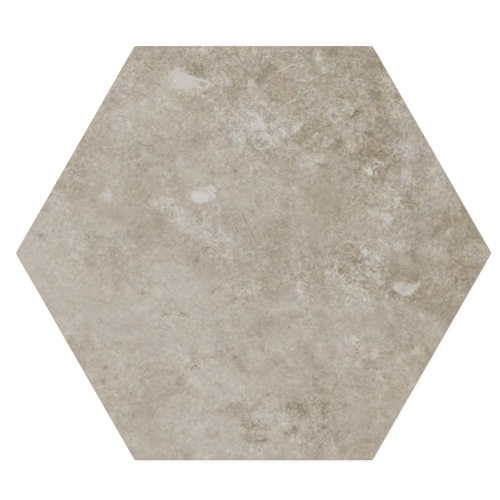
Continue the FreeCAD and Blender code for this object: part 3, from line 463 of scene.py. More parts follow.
# Levels of green over blue beyond what the tone and the warmth bring.
YELLOWS = [
    (-6, 84, 3, 4, 0, 3.5), (-34, 84, 8, 4, 0, -2.5), (29, 80, 4, 4, 0, 2.2), (47, 82, 6, 5, 0, 1.5),
    (-57, 70, 8, 5, 0, -2.5), (22, 68, 4, 5, 0, -2.4), (-28, 63, 4, 4, 0, 3.5),
    (48, 61, 5, 4, -40, -2.3), (16, 51, 4, 3, 0, 1.7), (3, 52, 5, 3, 0, 1.5),
    (-68, 45, 6, 3.5, 0, -1.6), (4, 42, 3, 3, 0, 1.8), (65, 40, 10, 4.5, 0, -3),
    (-48, 38, 5, 9, 0, -1.7), (16, 37, 6, 6, 0, -1.5), (-79, 30, 4, 6, 0, 2.6), (79, 29, 7, 5, 0, -2),
    (-5, 30, 9, 5, 0, -1.5), (-35, 24, 4, 5, 0, 1.8), (-17, 22, 5, 6, 0, 1.9), (68, 22, 4, 5, 0, 1.6),
    (40, 20, 14, 6, 0, 2), (24, 17, 4, 4, 0, 1.4), (86, 14, 6, 6, 0, 1.6), (72, 6, 4, 7, 0, -1.6),
    (9, 5, 3, 5, 0, 1.6), (25, 4, 8, 5, 0, -2), (-30, -1, 3, 5, 0, -1.5), (86, -4, 3, 10, 20, 1.6),
    (-20, -8, 6, 6, 0, -1.4), (58, -8, 3, 5, 0, 1.9), (48, -8, 4, 2.5, 0, -1.8),
    (68, -11, 4, 2, 0, -1.5), (32, -13, 4, 5, 0, 1.5), (18, -14, 7, 9, 0, -1.5), (8, -20, 4, 8, 0, 1.5),
    (-78, -22, 6, 4, 0, -1.5), (63, -24, 4, 3, 0, -1.6), (24, -26, 3, 4, 0, -1.6),
    (-58, -31, 6, 5, 0, -1.8), (44, -36, 4, 4, 0, 1.7), (-68, -37, 4, 3, 0, -1.5),
    (-49, -38, 4, 4, 0, 1.7), (-3, -39, 5, 3, 0, 1.5), (8, -38, 4, 8, 0, -1.4),
    (23, -43, 4, 4, 0, -1.5), (-25, -45, 5, 3.5, 0, 2.5), (-15, -47, 4, 3, 0, 1.8),
    (70, -45, 6, 8, 0, 2.4), (-42, -46, 5, 4, 0, -1.6), (-5, -49, 4, 4, 0, -1.8),
    (62, -56, 8, 8, 0, 1.6), (30, -58, 4, 10, 0, 2.4), (50, -65, 5, 6, 0, 1.4),
    (-12, -79, 14, 6, 0, -1.3), (-52, -78, 5, 8, 0, 1.6), (34, -83, 8, 4, 0, 2.4),
    (-29, 73, 5, 4, 0, 1.2), (-22, 23, 4, 2, 0, -1.5), (1, 50, 4, 5, 0, 0.8), (64.5, -15, 6, 3, 0, -1),
    (31, 62, 22, 18, 0, 0.8),
]

# Levels of red over green beyond what the tone and the warmth bring.
PINKS = [
    (-6, 84, 4, 4, 0, -2.3), (-30, 86, 5, 2.5, 0, 1.8), (47, 85, 5, 3, 0, -1.4),
    (-57, 73, 3.5, 4, 0, 2), (28, 74, 6, 4, 0, -2), (13, 74, 3, 5, 0, 1.2), (40, 71, 4, 4, 0, -1.6),
    (-28, 63, 4, 3.5, 0, -2.2), (-53, 57, 4.5, 3, 0, -1.7), (8, 57, 8, 6, 0, -1.4),
    (49, 56, 3, 3, 0, 1.8), (-15, 44, 4, 4, 0, 1.9), (-72, 45, 5, 8, 0, 1.6), (-27, 44, 3, 3, 0, -1.3),
    (63, 40, 5, 6, 0, 2), (39, 39, 4, 5, 0, -1.9), (60, 32, 3, 6, 0, 1.7), (72, 36, 6, 3, 0, 1.3),
    (-18, 31, 4, 4, 0, -1.4), (-79, 29, 4, 4, 0, -2.2), (33, 24, 8, 11, 0, -1.2),
    (-59, 21, 4, 3, 0, -1.3), (80, 20, 4, 3, 0, 1.3), (31, 7, 5, 3, 0, 1.9), (18, 5, 4, 4, 0, 1.4),
    (10, 0, 3, 5, 0, -1.5), (95, 0, 4, 5, 0, -1.4), (40, -2, 3, 3, 0, -2), (-62, -5, 6, 4, 0, 1.4),
    (19, -15, 6, 6, 0, 2.8), (0, -17, 3, 3, 0, 1.5), (42, -32, 4, 8, 0, -1.3), (48, -45, 4, 3, 0, 1.6),
    (-43, -50, 4.5, 6, 0, 1.9), (-57, -50, 6, 8, 0, 1.2), (-70, -45, 3, 5, 0, 1.4),
    (13, -49, 5, 7, 0, 1.4), (58, -53, 5, 8, 0, -1.3), (-31, -60, 5, 3, 0, 1.5),
    (43, -63, 3, 4, 0, 1.3), (-22, -73, 3, 6, 0, -1.5), (36, -72, 5, 6, 0, -1.2),
    (11, -76, 3, 8, 0, 1.3), (28, -84, 5, 3, 0, -1.7), (-50, -76, 12, 12, 0, -0.9),
    (64.5, -15, 6, 3, 0, 2.2), (60, 3, 5, 4, 0, 1), (65.5, -6, 6, 4.5, 0, -1.2),
]

# How strong the fine markings are in common, where they are stronger or weaker, and a gain on that.
COMMON_CONTRAST = 0.68
CONTRAST_GAIN = 1.48
CONTRASTS = [
    (25, 68, 55, 25, 0, 0.45), (58, 35, 18, 25, 0, 0.5), (8, 45, 14, 10, 0, 0.25),
    (-25, 82, 30, 8, 0, 0.35), (-55, 78, 8, 8, 0, 0.3), (-76, 38, 16, 5, 60, 0.3),
    (45, -10, 35, 9, -10, 0.35), (20, -5, 8, 8, 0, 0.2), (46, 0, 8, 8, 0, 0.3),
    (88, -8, 12, 8, 60, 0.35), (85, 15, 12, 8, -60, 0.25), (-20, 10, 5, 12, 0, 0.3),
    (-18, 0, 6, 4, 0, 0.3), (-5, -15, 6, 5, 0, 0.3), (0, 0, 7, 5, 0, 0.2), (-60, 2, 8, 4, 0, 0.3),
    (-32, -26, 4, 3, 0, 0.3), (-24, -47, 4, 4, 0, 0.45), (0, -72, 6, 9, 0, 0.35),
    (17, -66, 10, 6, 0, 0.3), (28, -66, 6, 12, 0, 0.3), (20, -80, 8, 6, 0, 0.2),
    (48, -44, 8, 6, 0, 0.25), (53, -53, 4, 5, 0, 0.25), (42, -38, 4, 3, 0, 0.2),
    (22, -27, 5, 4, 0, 0.25), (-50, 39, 3.5, 3, 0, 0.35), (-34, 36, 3, 3, 0, 0.15),
    (-35, 20, 6, 5, 0, 0.15), (-70, -22, 22, 12, -10, -0.2), (-22, -15, 8, 16, 0, -0.15),
    (-95, -5, 10, 10, 0, -0.2), (-25, 37, 10, 8, 0, -0.15), (-38, 70, 5, 7, 0, -0.25),
    (46, -66, 6, 6, 0, -0.2), (-60, 18, 12, 8, -30, -0.15), (-40, -80, 12, 6, 0, -0.15),
    (-12, -82, 8, 4, 0, -0.15), (-5, -55, 8, 4, 0, -0.15), (8, -36, 5, 4, 0, -0.1),
    (33, 25, 6, 6, 0, -0.25), (5, 12, 5, 3, 0, -0.15), (12, 60, 3, 5, 0, -0.4),
    (50, -30, 5, 5, 0, -0.2), (64, -7, 8, 6, 0, -0.3), (66, 42, 5, 6, 0, -0.4),
    (63, 33, 4, 4, 0, -0.35), (3, -68, 5, 4, 0, -0.25), (0, 70, 15, 16, 0, -0.1),
    (-57, -35, 28, 28, 0, -0.05), (10, -55, 32, 28, 0, -0.06), (45, -2, 10, 8, 0, 0.15),
    (40, -14, 8, 5, -20, 0.15), (62, 20, 8, 8, 0, 0.12),
]

# The marks below are placed in the photograph's pixels, counted from its upper left corner.

# Chalk patches: how thick the chalk is, its level, and the outline.
CHALK_OUTLINES = [
    (0.95, 196.5, [
        (175, 68), (178, 69.5), (182, 72), (187, 74.5), (191.5, 77), (191.8, 83), (191.8, 88.8),
        (187, 88), (183, 87.5), (179, 88.8), (176, 88.3), (175.6, 80), (175, 74),
    ]),
    (0.35, 185, [(245, 111), (251, 110.5), (255.5, 112), (255, 119), (247, 120)]),
    (0.85, 197, [
        (254.5, 121.5), (257, 119.5), (261, 119), (263.5, 121), (266, 125.5), (263, 127.5),
        (258, 127.5), (254.5, 127),
    ]),
    (0.8, 197.5, [
        (259, 132), (264, 130.5), (267, 132), (269, 136), (270.5, 139.5), (267, 140.5), (263, 139),
        (260.5, 136.5),
    ]),
    (0.45, 191, [(232, 136), (239, 135.5), (240, 142), (234, 143)]),
    (0.45, 196, [(240, 135), (245, 136), (245, 143.5), (240, 143.5)]),
    (0.35, 188, [(273, 138), (278, 138), (279, 144), (273, 144)]),
    (0.3, 186, [(273, 126), (280, 127), (279, 132), (273, 132)]),
    (1.0, 202.3, [
        (191.5, 193.5), (195, 192.5), (199, 191.5), (207.5, 192.5), (207.5, 198), (206, 200),
        (203.5, 201.5), (201, 204), (199, 202.5), (192, 201),
    ]),
    (0.65, 192, [(159.5, 198), (162, 195.5), (165, 195.5), (167.3, 199), (165, 202.3), (160, 201.5)]),
    (0.6, 194, [(160, 202.5), (163.5, 202.5), (165, 206), (160.5, 207)]),
    (0.6, 196, [(105, 193), (111, 192), (112, 198), (106, 199)]),
    (0.9, 189, [
        (393, 282.7), (396.5, 282.3), (401, 283.6), (406, 286), (410, 285.7), (414, 284.2),
        (417, 282.3), (419, 281), (420.3, 282), (420, 284.6), (418, 286), (415.5, 288), (414, 290.8),
        (411, 293.5), (407.5, 295.3), (402, 295.3), (400, 292.8), (397.5, 291), (394, 289.8),
        (392.5, 287.5), (394, 285),
    ]),
    (0.4, 192, [(375, 279), (380, 280), (382, 285), (378, 286)]),
    (0.6, 197, [(351, 336), (354, 334), (356, 343), (352, 344)]),
    (0.85, 197, [
        (316.5, 50.5), (318, 52), (319.3, 57), (321, 60.5), (317, 60.3), (313.5, 59), (315.5, 57),
    ]),
    (0.6, 194, [(320.5, 67.5), (323.5, 65.8), (327.5, 68.5), (329, 71.5), (325, 72.5), (322, 71)]),
    (0.5, 191, [(393, 242.5), (398, 241.5), (402, 244), (401, 248), (395.5, 248)]),
    (0.9, 206, [
        (363, 167.8), (367, 168.5), (370.3, 167), (371, 171), (371.8, 174.5), (369, 174.8),
        (366.5, 171.5),
    ]),
    (0.85, 197, [
        (383.5, 213.5), (387, 212.5), (391, 215), (391.5, 219), (389.5, 222), (385, 222), (383, 218),
    ]),
    (0.5, 192, [(371, 213), (383, 214), (383, 218), (371, 217)]),
    (0.5, 190, [(383.5, 182), (389, 181.5), (390, 184.5), (384, 185)]),
    (0.5, 190, [(393.5, 199), (396, 196.5), (400, 196.5), (399, 202), (397, 207), (394, 205)]),
    (0.4, 189, [(400, 168), (407, 170), (408, 178), (402, 177)]),
    (0.85, 204, [
        (362, 252), (363.5, 249), (366, 247.5), (367.5, 250), (366.5, 253), (366.3, 256.5),
        (364.3, 256.5), (363.3, 254),
    ]),
    (0.6, 194, [(333, 264.5), (335.5, 263.5), (336, 268), (333.5, 267.5)]),
    (0.45, 191, [
        (325, 272), (331, 271.5), (336, 274), (340, 277.5), (343, 280), (336, 281), (329, 277.5),
    ]),
    (0.45, 193, [(343, 286.5), (348, 289), (352, 291.5), (346, 292)]),
    (0.45, 190, [(176, 208), (182.5, 209), (183, 224), (177, 225)]),
    (0.3, 192, [(286, 360), (290, 359), (291, 364), (287, 364)]),
]

# Thin chalky strokes: how thick the chalk is, its level, half the width, and the points they run through.
CHALK_STROKES = [
    (0.95, 202, 0.9, [(184, 73.3), (191, 76.7), (197, 78.4), (203, 80), (206.5, 81.2)]),
    (0.95, 200, 0.9, [(206.8, 81), (208.5, 83), (207.5, 85.5), (205, 87)]),
    (0.9, 196, 1.3, [(192, 84), (196, 85.8), (202, 87.6)]),
    (0.75, 191, 1.2, [(192.5, 80.5), (197, 81.5)]),
    (0.5, 194, 0.9, [(200, 91), (204, 90), (207, 89)]),
    (0.45, 190, 1.0, [(192, 92.5), (197, 94), (201, 95), (206, 96)]),
    (0.55, 197, 1.0, [(181.5, 69), (184.5, 69.8)]),
    (0.65, 191, 0.9, [(247.5, 130), (252, 128.3), (258, 128.6), (263, 128.8)]),
    (0.6, 199, 0.8, [(270.5, 136), (271.2, 140), (270.5, 144)]),
    (0.7, 203, 1.1, [(269.5, 144.5), (270, 144.6)]),
    (0.75, 196, 0.9, [(254.5, 144), (255.5, 147), (260, 149), (264, 147.5), (268.5, 145.5)]),
    (0.85, 203, 0.9, [(284, 131.5), (286, 134), (287.5, 135.5)]),
    (0.5, 198, 1.0, [(298.5, 126), (299, 127)]),
    (0.8, 204, 1.4, [(209.5, 185.5), (212, 187.5), (214.5, 190)]),
    (0.75, 203, 1.2, [(209, 191), (212, 194), (213.5, 195.5)]),
    (0.5, 198, 1.0, [(208, 195.5), (210, 199)]),
    (0.75, 196, 0.8, [(167.5, 203), (170, 206.5), (173, 208), (176.5, 207.5)]),
    (0.7, 196, 0.8, [(169.5, 202), (173, 202.5), (176, 205)]),
    (0.6, 192, 0.7, [(160, 188.5), (165, 187.8), (171, 188.8)]),
    (0.5, 192, 0.8, [(201.5, 175), (204.5, 176), (207, 175.8)]),
    (0.5, 193, 0.8, [(203.5, 212), (205, 209.5), (206.5, 210.5)]),
    (0.7, 194, 0.8, [(333, 279.5), (338, 278.5), (343, 279.3)]),
    (0.75, 195, 0.9, [(351, 290), (355, 287.5), (361, 288.5), (366, 291)]),
    (0.5, 193, 0.8, [(350.5, 284), (352, 281.5), (353.5, 284.5)]),
    (0.65, 193, 0.8, [(356, 279), (361, 278), (367, 279.5), (371, 281.5)]),
    (0.45, 190, 0.9, [(343.5, 242), (346, 240.5), (351, 241.5)]),
    (0.45, 190, 0.9, [(353.5, 241.5), (358, 242.5), (361.5, 246)]),
    (0.5, 192, 0.8, [(375.5, 170), (376, 172.5), (373, 176)]),
    (0.5, 191, 0.8, [(384, 193), (384.3, 197), (385.5, 199.5)]),
    (0.5, 190, 0.8, [(325.5, 260.5), (328, 261.8)]),
    (0.3, 194, 0.9, [(140, 202), (148, 207)]),
    (0.6, 198, 0.8, [(369, 171), (380, 163)]),
    (0.6, 198, 0.9, [(401, 270), (401, 272)]),
    (0.5, 196, 0.9, [(226, 285), (229, 287)]),
    (0.6, 196, 0.8, [(134, 159), (135, 160)]),
    (0.65, 189, 0.8, [(276, 71.5), (283, 68.5), (290, 65.5), (297, 63.5), (303, 61.5)]),
    (0.6, 194, 0.7, [(373, 162.8), (376, 161.2), (380, 161), (383, 163), (382.3, 165.5), (379, 166)]),
    (0.5, 188, 0.7, [(352, 185), (357, 183), (362, 183)]),
    (0.7, 193, 0.9, [(326, 270), (331, 273.5), (336, 276), (341, 281)]),
    (0.7, 195, 0.8, [(344, 288), (347, 285), (351, 286.5), (353, 290)]),
    (0.7, 194, 0.8, [(353.5, 241.7), (357, 241.5), (360, 244.5), (360.5, 248)]),
    (0.65, 192, 0.7, [(358, 234.5), (359, 238)]),
    (0.7, 194, 0.8, [(345, 287), (347, 291.5), (351, 292), (353, 288)]),
    (0.6, 189, 0.8, [(370, 262), (374, 258), (378, 259), (381, 263)]),
    (0.65, 189, 0.8, [(399.5, 231.5), (401.5, 228.5), (405, 228.5)]),
    (0.65, 189, 0.7, [(391, 155), (395, 152), (399, 151)]),
    (0.7, 192, 0.7, [(320.5, 146), (324, 145.5), (328, 144), (331.5, 142)]),
    (0.55, 188, 0.7, [(322, 138), (327, 137.5), (331, 140)]),
    (0.5, 190, 1.2, [(336, 155), (337, 157)]),
    (0.5, 190, 1.2, [(357, 165), (359, 166)]),
    (0.65, 192, 0.8, [(263, 56.5), (267, 57), (271, 56)]),
    (0.65, 193, 0.8, [(292.5, 57), (296.5, 56)]),
    (0.65, 191, 0.8, [(248, 86), (248.5, 82), (251, 79.5)]),
    (0.5, 192, 1.6, [(252, 84), (255, 85)]),
    (0.6, 192, 0.8, [(258, 104), (261, 102), (265, 104), (265.5, 107)]),
    (0.65, 190, 0.8, [(297, 79.5), (303, 80.5), (308, 79), (312, 77.5)]),
    (0.6, 190, 0.8, [(331, 120), (329, 114), (332, 108.5), (337, 106.5)]),
    (0.6, 190, 1.0, [(343, 109), (348, 107), (352, 109)]),
    (0.7, 193, 0.8, [(312, 137), (315, 134), (317.5, 132.5)]),
    (0.55, 188, 0.8, [(283, 105), (289, 101), (294, 100)]),
    (0.6, 189, 0.8, [(305, 92), (309, 88), (314, 88)]),
    (0.6, 189, 0.7, [(311, 100), (316, 97), (321, 98)]),
    (0.65, 192, 0.8, [(201, 225), (204.5, 221.5), (208, 217.5)]),
    (0.6, 191, 0.8, [(204, 223), (208, 227), (213, 231)]),
    (0.6, 191, 0.8, [(208, 205), (206.5, 210), (204, 215)]),
    (0.6, 192, 1.0, [(260, 246.5), (262.5, 246)]),
    (0.55, 191, 0.8, [(143, 203.5), (147, 207), (150.5, 208)]),
]

# Levels that lighten or darken the chalk itself.
CHALK_TONES = [
    (60, -14.4, 1.2, 1, -20, 12), (63.3, -15.3, 1.4, 0.9, -20, -15), (65.6, -16.9, 1.8, 0.9, 10, 11),
    (69.3, -13.4, 1.4, 0.9, 40, 11), (61.7, -13.4, 1.2, 0.8, -10, -7), (61.8, -16.6, 1.1, 0.8, -20, -9),
    (66.3, -14.2, 1.3, 0.8, 10, -9), (67.8, -15.7, 1.2, 0.8, 40, 6),
]

# Small dark dots: place and radius.
DARK_DOTS = [
    (41, 235, 1.5), (52.5, 230, 1.1), (89, 236, 1.3), (114, 247, 1.0), (113, 269, 1.0), (57, 269, 0.8),
    (61, 265, 0.7), (68, 301, 1.0), (79, 311, 0.7), (78, 329, 1.3), (172, 276, 1.2), (188, 280, 1.0),
    (142, 293, 1.5), (212, 292, 1.6), (176, 322, 1.0), (196, 261, 1.6), (205, 261, 1.2),
    (232, 285, 1.1), (235, 297, 1.4), (144, 259, 0.8), (222, 233, 0.9), (161, 335, 1.7),
    (105, 345, 1.4), (121, 343, 1.3), (89, 341, 1.2), (93, 348, 1.4), (104, 367, 1.7), (128, 365, 1.9),
    (116, 377, 1.7), (141, 380, 1.5), (171, 372, 1.2), (178, 384, 1.9), (131, 393, 1.6),
    (101, 380, 1.2), (151, 354, 1.3), (156, 350, 0.9), (139, 362, 1.0), (149, 365, 0.9),
    (148, 402, 0.9), (262, 350, 1.2), (227, 348, 1.1), (234, 357, 0.9), (233, 348, 0.9),
    (245, 354, 0.9), (220, 385, 0.9), (268, 394, 1.2), (259, 402, 1.0), (282, 360, 1.1),
    (219, 410, 1.1), (287, 407, 1.1), (222, 356, 1.0), (129, 204, 1.5), (78, 151, 1.1), (73, 183, 1.0),
    (95, 151, 0.8), (136, 155, 1.0), (143, 156, 1.0), (144, 168, 0.9), (77, 168, 1.1), (170, 170, 1.1),
    (177, 170, 1.0), (173, 177, 1.0), (211, 172, 1.2), (235, 171, 1.4), (172, 204, 0.9),
    (354, 346, 1.3), (311, 357, 1.2), (320, 333, 1.0), (321, 390, 1.3), (376, 368, 1.0),
    (299, 405, 1.2), (322, 403, 1.4), (322, 389, 1.2), (294, 427, 1.9), (286, 433, 1.5),
    (323, 427, 1.3), (319, 447, 1.2), (267, 395, 1.2), (253, 425, 1.6), (262, 440, 1.5),
    (256, 431, 1.2), (195, 369, 1.0), (309, 427, 1.3), (378, 284, 0.9), (268, 129.5, 1.0),
    (262.8, 105.7, 0.9), (250, 127, 0.7), (183, 89.5, 0.9), (205, 93.2, 1.1), (208.5, 80.2, 0.8),
    (384, 211, 1.1), (395, 220, 1.2), (380.5, 222.3, 0.9), (398.8, 218, 0.7), (373, 168.3, 0.9),
    (373.5, 173, 1.1), (378.5, 164.5, 0.9), (360, 199, 0.9), (354.5, 264, 1.2), (361.5, 274.3, 0.9),
    (327, 271, 0.9), (406.5, 190.5, 1.1), (397.5, 206.5, 0.7), (395, 195.3, 1.0), (385.5, 284, 0.8),
    (352, 247, 0.8), (326.5, 246.5, 0.7), (368.3, 260, 0.9), (431, 263, 0.9), (435, 265, 0.8),
    (333, 265.5, 0.8),
]

# Short dark strokes: half their width, and the points they run through.
DARK_STROKES = [
    (0.4, [(98, 299), (107, 303)]),
    (0.5, [(114, 283), (119, 290)]),
    (0.45, [(99, 318), (104, 324)]),
    (0.8, [(162, 315.5), (166, 313)]),
    (0.9, [(180, 313), (184, 313)]),
    (0.7, [(199, 250), (204, 247), (212, 248), (216, 252)]),
    (0.5, [(203, 357), (215, 357)]),
    (0.7, [(190, 369), (192, 366), (196, 365), (198, 369)]),
    (0.8, [(256, 440), (262, 441), (266, 439)]),
    (0.7, [(134, 141), (143, 144), (154, 146)]),
    (0.7, [(144, 200), (149, 206)]),
    (0.5, [(242, 214), (249, 229), (256, 241)]),
    (0.8, [(246, 136), (247, 143)]),
    (0.5, [(230, 130), (240, 130)]),
    (0.7, [(258, 140), (262, 137), (266, 141), (263, 146)]),
    (0.7, [(255.5, 131), (259, 130.6), (262, 131.6)]),
    (0.7, [(256, 139), (258.5, 142), (263, 143.5)]),
    (0.7, [(285, 139), (286.5, 145)]),
    (0.6, [(168.5, 170), (172, 170.5), (169, 167.5)]),
    (0.6, [(170, 203.8), (172.5, 205.5)]),
    (0.7, [(388, 209), (391, 211.5)]),
    (0.6, [(375.5, 163.8), (379.5, 164)]),
    (0.7, [(383, 211.3), (386, 210.5)]),
    (0.6, [(300, 402), (302, 408), (305, 411)]),
    (0.8, [(288, 403), (290, 409)]),
    (0.8, [(199, 83.5), (203, 84.5)]),
    (0.5, [(343, 245), (347, 243.3), (351, 244.5), (353, 247.5)]),
    (0.6, [(354.5, 261), (355.5, 265)]),
    (0.5, [(327.5, 229), (327, 232), (326, 235)]),
    (0.6, [(395.5, 218), (394, 221), (392, 223)]),
    (0.5, [(245.5, 84), (247, 80), (250, 77), (253, 74.5)]),
    (0.5, [(305, 95), (308, 91.5), (313, 91)]),
    (0.5, [(334, 111), (332.5, 116), (335, 120)]),
    (0.5, [(182, 229), (185, 228), (189, 226.5)]),
    (0.6, [(196, 221), (199, 219.5), (202, 217)]),
    (0.5, [(255.3, 199.5), (256, 203), (257.5, 206.5)]),
    (0.5, [(235, 226.5), (236.5, 229), (238, 231.5)]),
    (0.5, [(207.5, 227), (210, 231), (213.5, 234)]),
]

# Along the very edge the glaze is painted darker and less yellow, as painted shade on the rounded arris:
# how far in, and how much darker and less yellow it is.
RIM_WIDTH = 0.9
RIM_PAINTED_SHADE = 9.0
RIM_SHADE_GREYING = 4.0

# Half the run over which the tone's slopes are taken.
SLOPE_STEP = 0.35

# How the marks' edges wander: how far, over what wavelength, and the noise's seeds across and up.
BROAD_WANDER = (1.2, 8.0, 1, 3)
FINE_WANDER = (0.8, 3.0, 2, 4)

# From this far off a mark its distance is told no further.
FARTHEST = 3.0

# The face's relief: how deep it lies on the whole and at most, its waves as height, wavelength and seed,
# and its grain, which is as strong as the fine markings.
RELIEF_DEPTH = 0.05
DEEPEST_RELIEF = 0.2
RELIEF_WAVES = [(0.02, 26.0, 5), (0.015, 9.0, 6)]
RELIEF_GRAIN = (0.01, 2.2, 7)


def on_face(pixel):
    """The place on the face that a pixel of the photograph shows."""
    across = (pixel[0] - TILE_CENTRE_PIXEL[0]) / PIXELS_PER_MM
    up = (TILE_CENTRE_PIXEL[1] - pixel[1]) / PIXELS_PER_MM
    return across, up


def ovals(x, y, marks):
    """The sum of the soft ovals at points."""
    total = np.zeros_like(x)
    for centre_x, centre_y, half_length, half_width, angle, strength in marks:
        turn = math.radians(angle)
        along = (x - centre_x) * math.cos(turn) + (y - centre_y) * math.sin(turn)
        across = (y - centre_y) * math.cos(turn) - (x - centre_x) * math.sin(turn)
        total += strength * np.exp(-((along / half_length) ** 2 + (across / half_width) ** 2))
    return total


def distance_to_piece(x, y, start, end):
    """How far points lie from a straight piece of line."""
    run_x = end[0] - start[0]
    run_y = end[1] - start[1]
    least = 1e-9
    length_squared = max(run_x ** 2 + run_y ** 2, least)
    share = np.clip(((x - start[0]) * run_x + (y - start[1]) * run_y) / length_squared, 0.0, 1.0)
    return np.hypot(x - start[0] - share * run_x, y - start[1] - share * run_y)


def depth_in_outline(x, y, outline):
    """How deep points lie inside a closed outline, below nought outside it."""
    nearest = np.full_like(x, np.inf)
    inside = np.zeros(x.shape, bool)
    for start, end in zip(outline, outline[1:] + outline[:1]):
        nearest = np.minimum(nearest, distance_to_piece(x, y, start, end))
        crosses = (start[1] > y) != (end[1] > y)
        rise = (end[1] - start[1]) or 1.0
        inside ^= crosses & (x < start[0] + (y - start[1]) * (end[0] - start[0]) / rise)
    return np.where(inside, nearest, -nearest)


def distance_off_stroke(x, y, points):
    """The distance to a stroke's middle line, above nought on its left and below on its right."""
    nearest = np.full_like(x, np.inf)
    side = np.ones_like(x)
    for start, end in zip(points, points[1:]):
        distance = distance_to_piece(x, y, start, end)
        cross = (end[0] - start[0]) * (y - start[1]) - (end[1] - start[1]) * (x - start[0])
        side = np.where(distance < nearest, np.sign(cross), side)
        nearest = np.minimum(nearest, distance)
    return side * nearest


def stroke_fields(x, y, strokes):
    """For strokes of (half width, points): which is nearest, how far off its middle, its half width."""
    off = np.array([distance_off_stroke(x, y, [on_face(p) for p in points]) for _, points in strokes])
    half_widths = np.array([half_width / PIXELS_PER_MM for half_width, _ in strokes])
    nearest = (np.abs(off) - half_widths[:, None]).argmin(axis=0)
    chosen = np.clip(off[nearest, np.arange(len(x))], -FARTHEST, FARTHEST)
    return nearest, chosen, half_widths[nearest]


def noise_at(x, y, wavelength, seed):
    """Smooth gradient noise, from about -1 to 1, whose waves are about so long."""
    period = 128
    gain = 1.5
    turns = np.random.default_rng(seed).uniform(0.0, math.tau, (period, period))
    column = np.floor(x / wavelength).astype(int)
    row = np.floor(y / wavelength).astype(int)
    across = x / wavelength - column
    up = y / wavelength - row

    def corner(right, above):
        turn = turns[(row + above) % period, (column + right) % period]
        return np.cos(turn) * (across - right) + np.sin(turn) * (up - above)

    blend_across = across ** 3 * (across * (across * 6 - 15) + 10)
    blend_up = up ** 3 * (up * (up * 6 - 15) + 10)
    low = corner(0, 0) + blend_across * (corner(1, 0) - corner(0, 0))
    high = corner(0, 1) + blend_across * (corner(1, 1) - corner(0, 1))
    return gain * (low + blend_up * (high - low))


def wandered(x, y, wanders):
    """Points moved by smooth noise, which makes the edges of marks uneven."""
    moved_x = x
    moved_y = y
    for size, wavelength, seed_across, seed_up in wanders:
        moved_x = moved_x + size * noise_at(x, y, wavelength, seed_across)
        moved_y = moved_y + size * noise_at(x, y, wavelength, seed_up)
    return moved_x, moved_y


def rim_at(x, y):
    """How near points are to the face's edge, from 0 to 1 on it."""
    depth = np.full_like(x, np.inf)
    for angle in range(30, 360, 60):
        turn = math.radians(angle)
        depth = np.minimum(depth, ACROSS_FLATS / 2 - x * math.cos(turn) - y * math.sin(turn))
    return np.clip(1.0 - depth / RIM_WIDTH, 0.0, 1.0)


def tone_at(x, y):
    """The levels that lighten or darken the glaze at points."""
    moved_x, moved_y = wandered(x, y, [BROAD_WANDER, FINE_WANDER])
    return ovals(moved_x, moved_y, TONES) + SPOT_GAIN * ovals(x, y, SPOTS)


def chalk_fields(x, y):
    """How far points are in or off the placed chalk, how thick the nearest chalk is, and its level."""
    outlines = [[on_face(pixel) for pixel in outline] for _, _, outline in CHALK_OUTLINES]
    depths = np.array([depth_in_outline(x, y, outline) for outline in outlines])
    patch_depth = depths.max(axis=0)
    stroke, off, half_width = stroke_fields(x, y, [mark[2:] for mark in CHALK_STROKES])
    reach = half_width - np.abs(off)
    nearest = np.where(patch_depth > reach, depths.argmax(axis=0), len(CHALK_OUTLINES) + stroke)
    thicknesses = np.array([mark[0] for mark in CHALK_OUTLINES + CHALK_STROKES])
    levels = np.array([mark[1] for mark in CHALK_OUTLINES + CHALK_STROKES])
    return {
        "chalk_depth": np.maximum(patch_depth, -FARTHEST),
        "chalk_off": off,
        "chalk_reach": reach,
        "chalk_half": half_width,
        "chalk_thickness": thicknesses[nearest],
        "chalk_level": levels[nearest] + ovals(x, y, CHALK_TONES),
    }


def dark_fields(x, y):
    """How far points are in or off the placed dark dots and strokes."""
    depths = []
    for across, down, radius in DARK_DOTS:
        place = on_face((across, down))
        depths.append(radius / PIXELS_PER_MM - np.hypot(x - place[0], y - place[1]))
    _, off, half_width = stroke_fields(x, y, DARK_STROKES)
    return {
        "dark_depth": np.maximum(np.maximum.reduce(depths), -FARTHEST),
        "dark_off": off,
        "dark_reach": half_width - np.abs(off),
        "dark_half": half_width,
    }


def face_fields(x, y):
    """The face's painted fields at points, by name."""
    moved_x, moved_y = wandered(x, y, [BROAD_WANDER])
    slope_run = 2 * SLOPE_STEP
    return {
        "tone": tone_at(x, y),
        "tone_across": (tone_at(x + SLOPE_STEP, y) - tone_at(x - SLOPE_STEP, y)) / slope_run,
        "tone_up": (tone_at(x, y + SLOPE_STEP) - tone_at(x, y - SLOPE_STEP)) / slope_run,
        "warmth": ovals(moved_x, moved_y, WARMTHS),
        "yellow": ovals(moved_x, moved_y, YELLOWS),
        "pink": ovals(moved_x, moved_y, PINKS),
        "contrast": COMMON_CONTRAST + CONTRAST_GAIN * ovals(moved_x, moved_y, CONTRASTS),
        "rim": rim_at(x, y),
        **chalk_fields(x, y),
        **dark_fields(x, y),
    }


def face_relief(x, y, contrast):
    """How far the glaze lies below its highest level."""
    depth = np.full_like(x, RELIEF_DEPTH)
    for height, wavelength, seed in RELIEF_WAVES:
        depth -= height * noise_at(x, y, wavelength, seed)
    height, wavelength, seed = RELIEF_GRAIN
    depth -= height * contrast * noise_at(x, y, wavelength, seed)
    return np.clip(depth, 0.0, DEEPEST_RELIEF)


# Mesh

# Which material a face of the mesh has.
FACE, SIDE, BACK = range(3)


def outline_corners():
    """The six sharp corners of the face, anticlockwise from the one on +X."""
    reach = ACROSS_CORNERS / 2
    half_side = FLAT_SIDE_LENGTH / 2
    half_flats = ACROSS_FLATS / 2
    upper = [(reach, 0.0), (half_side, half_flats), (-half_side, half_flats)]
    return [Vector(point) for point in upper] + [-Vector(point) for point in upper]


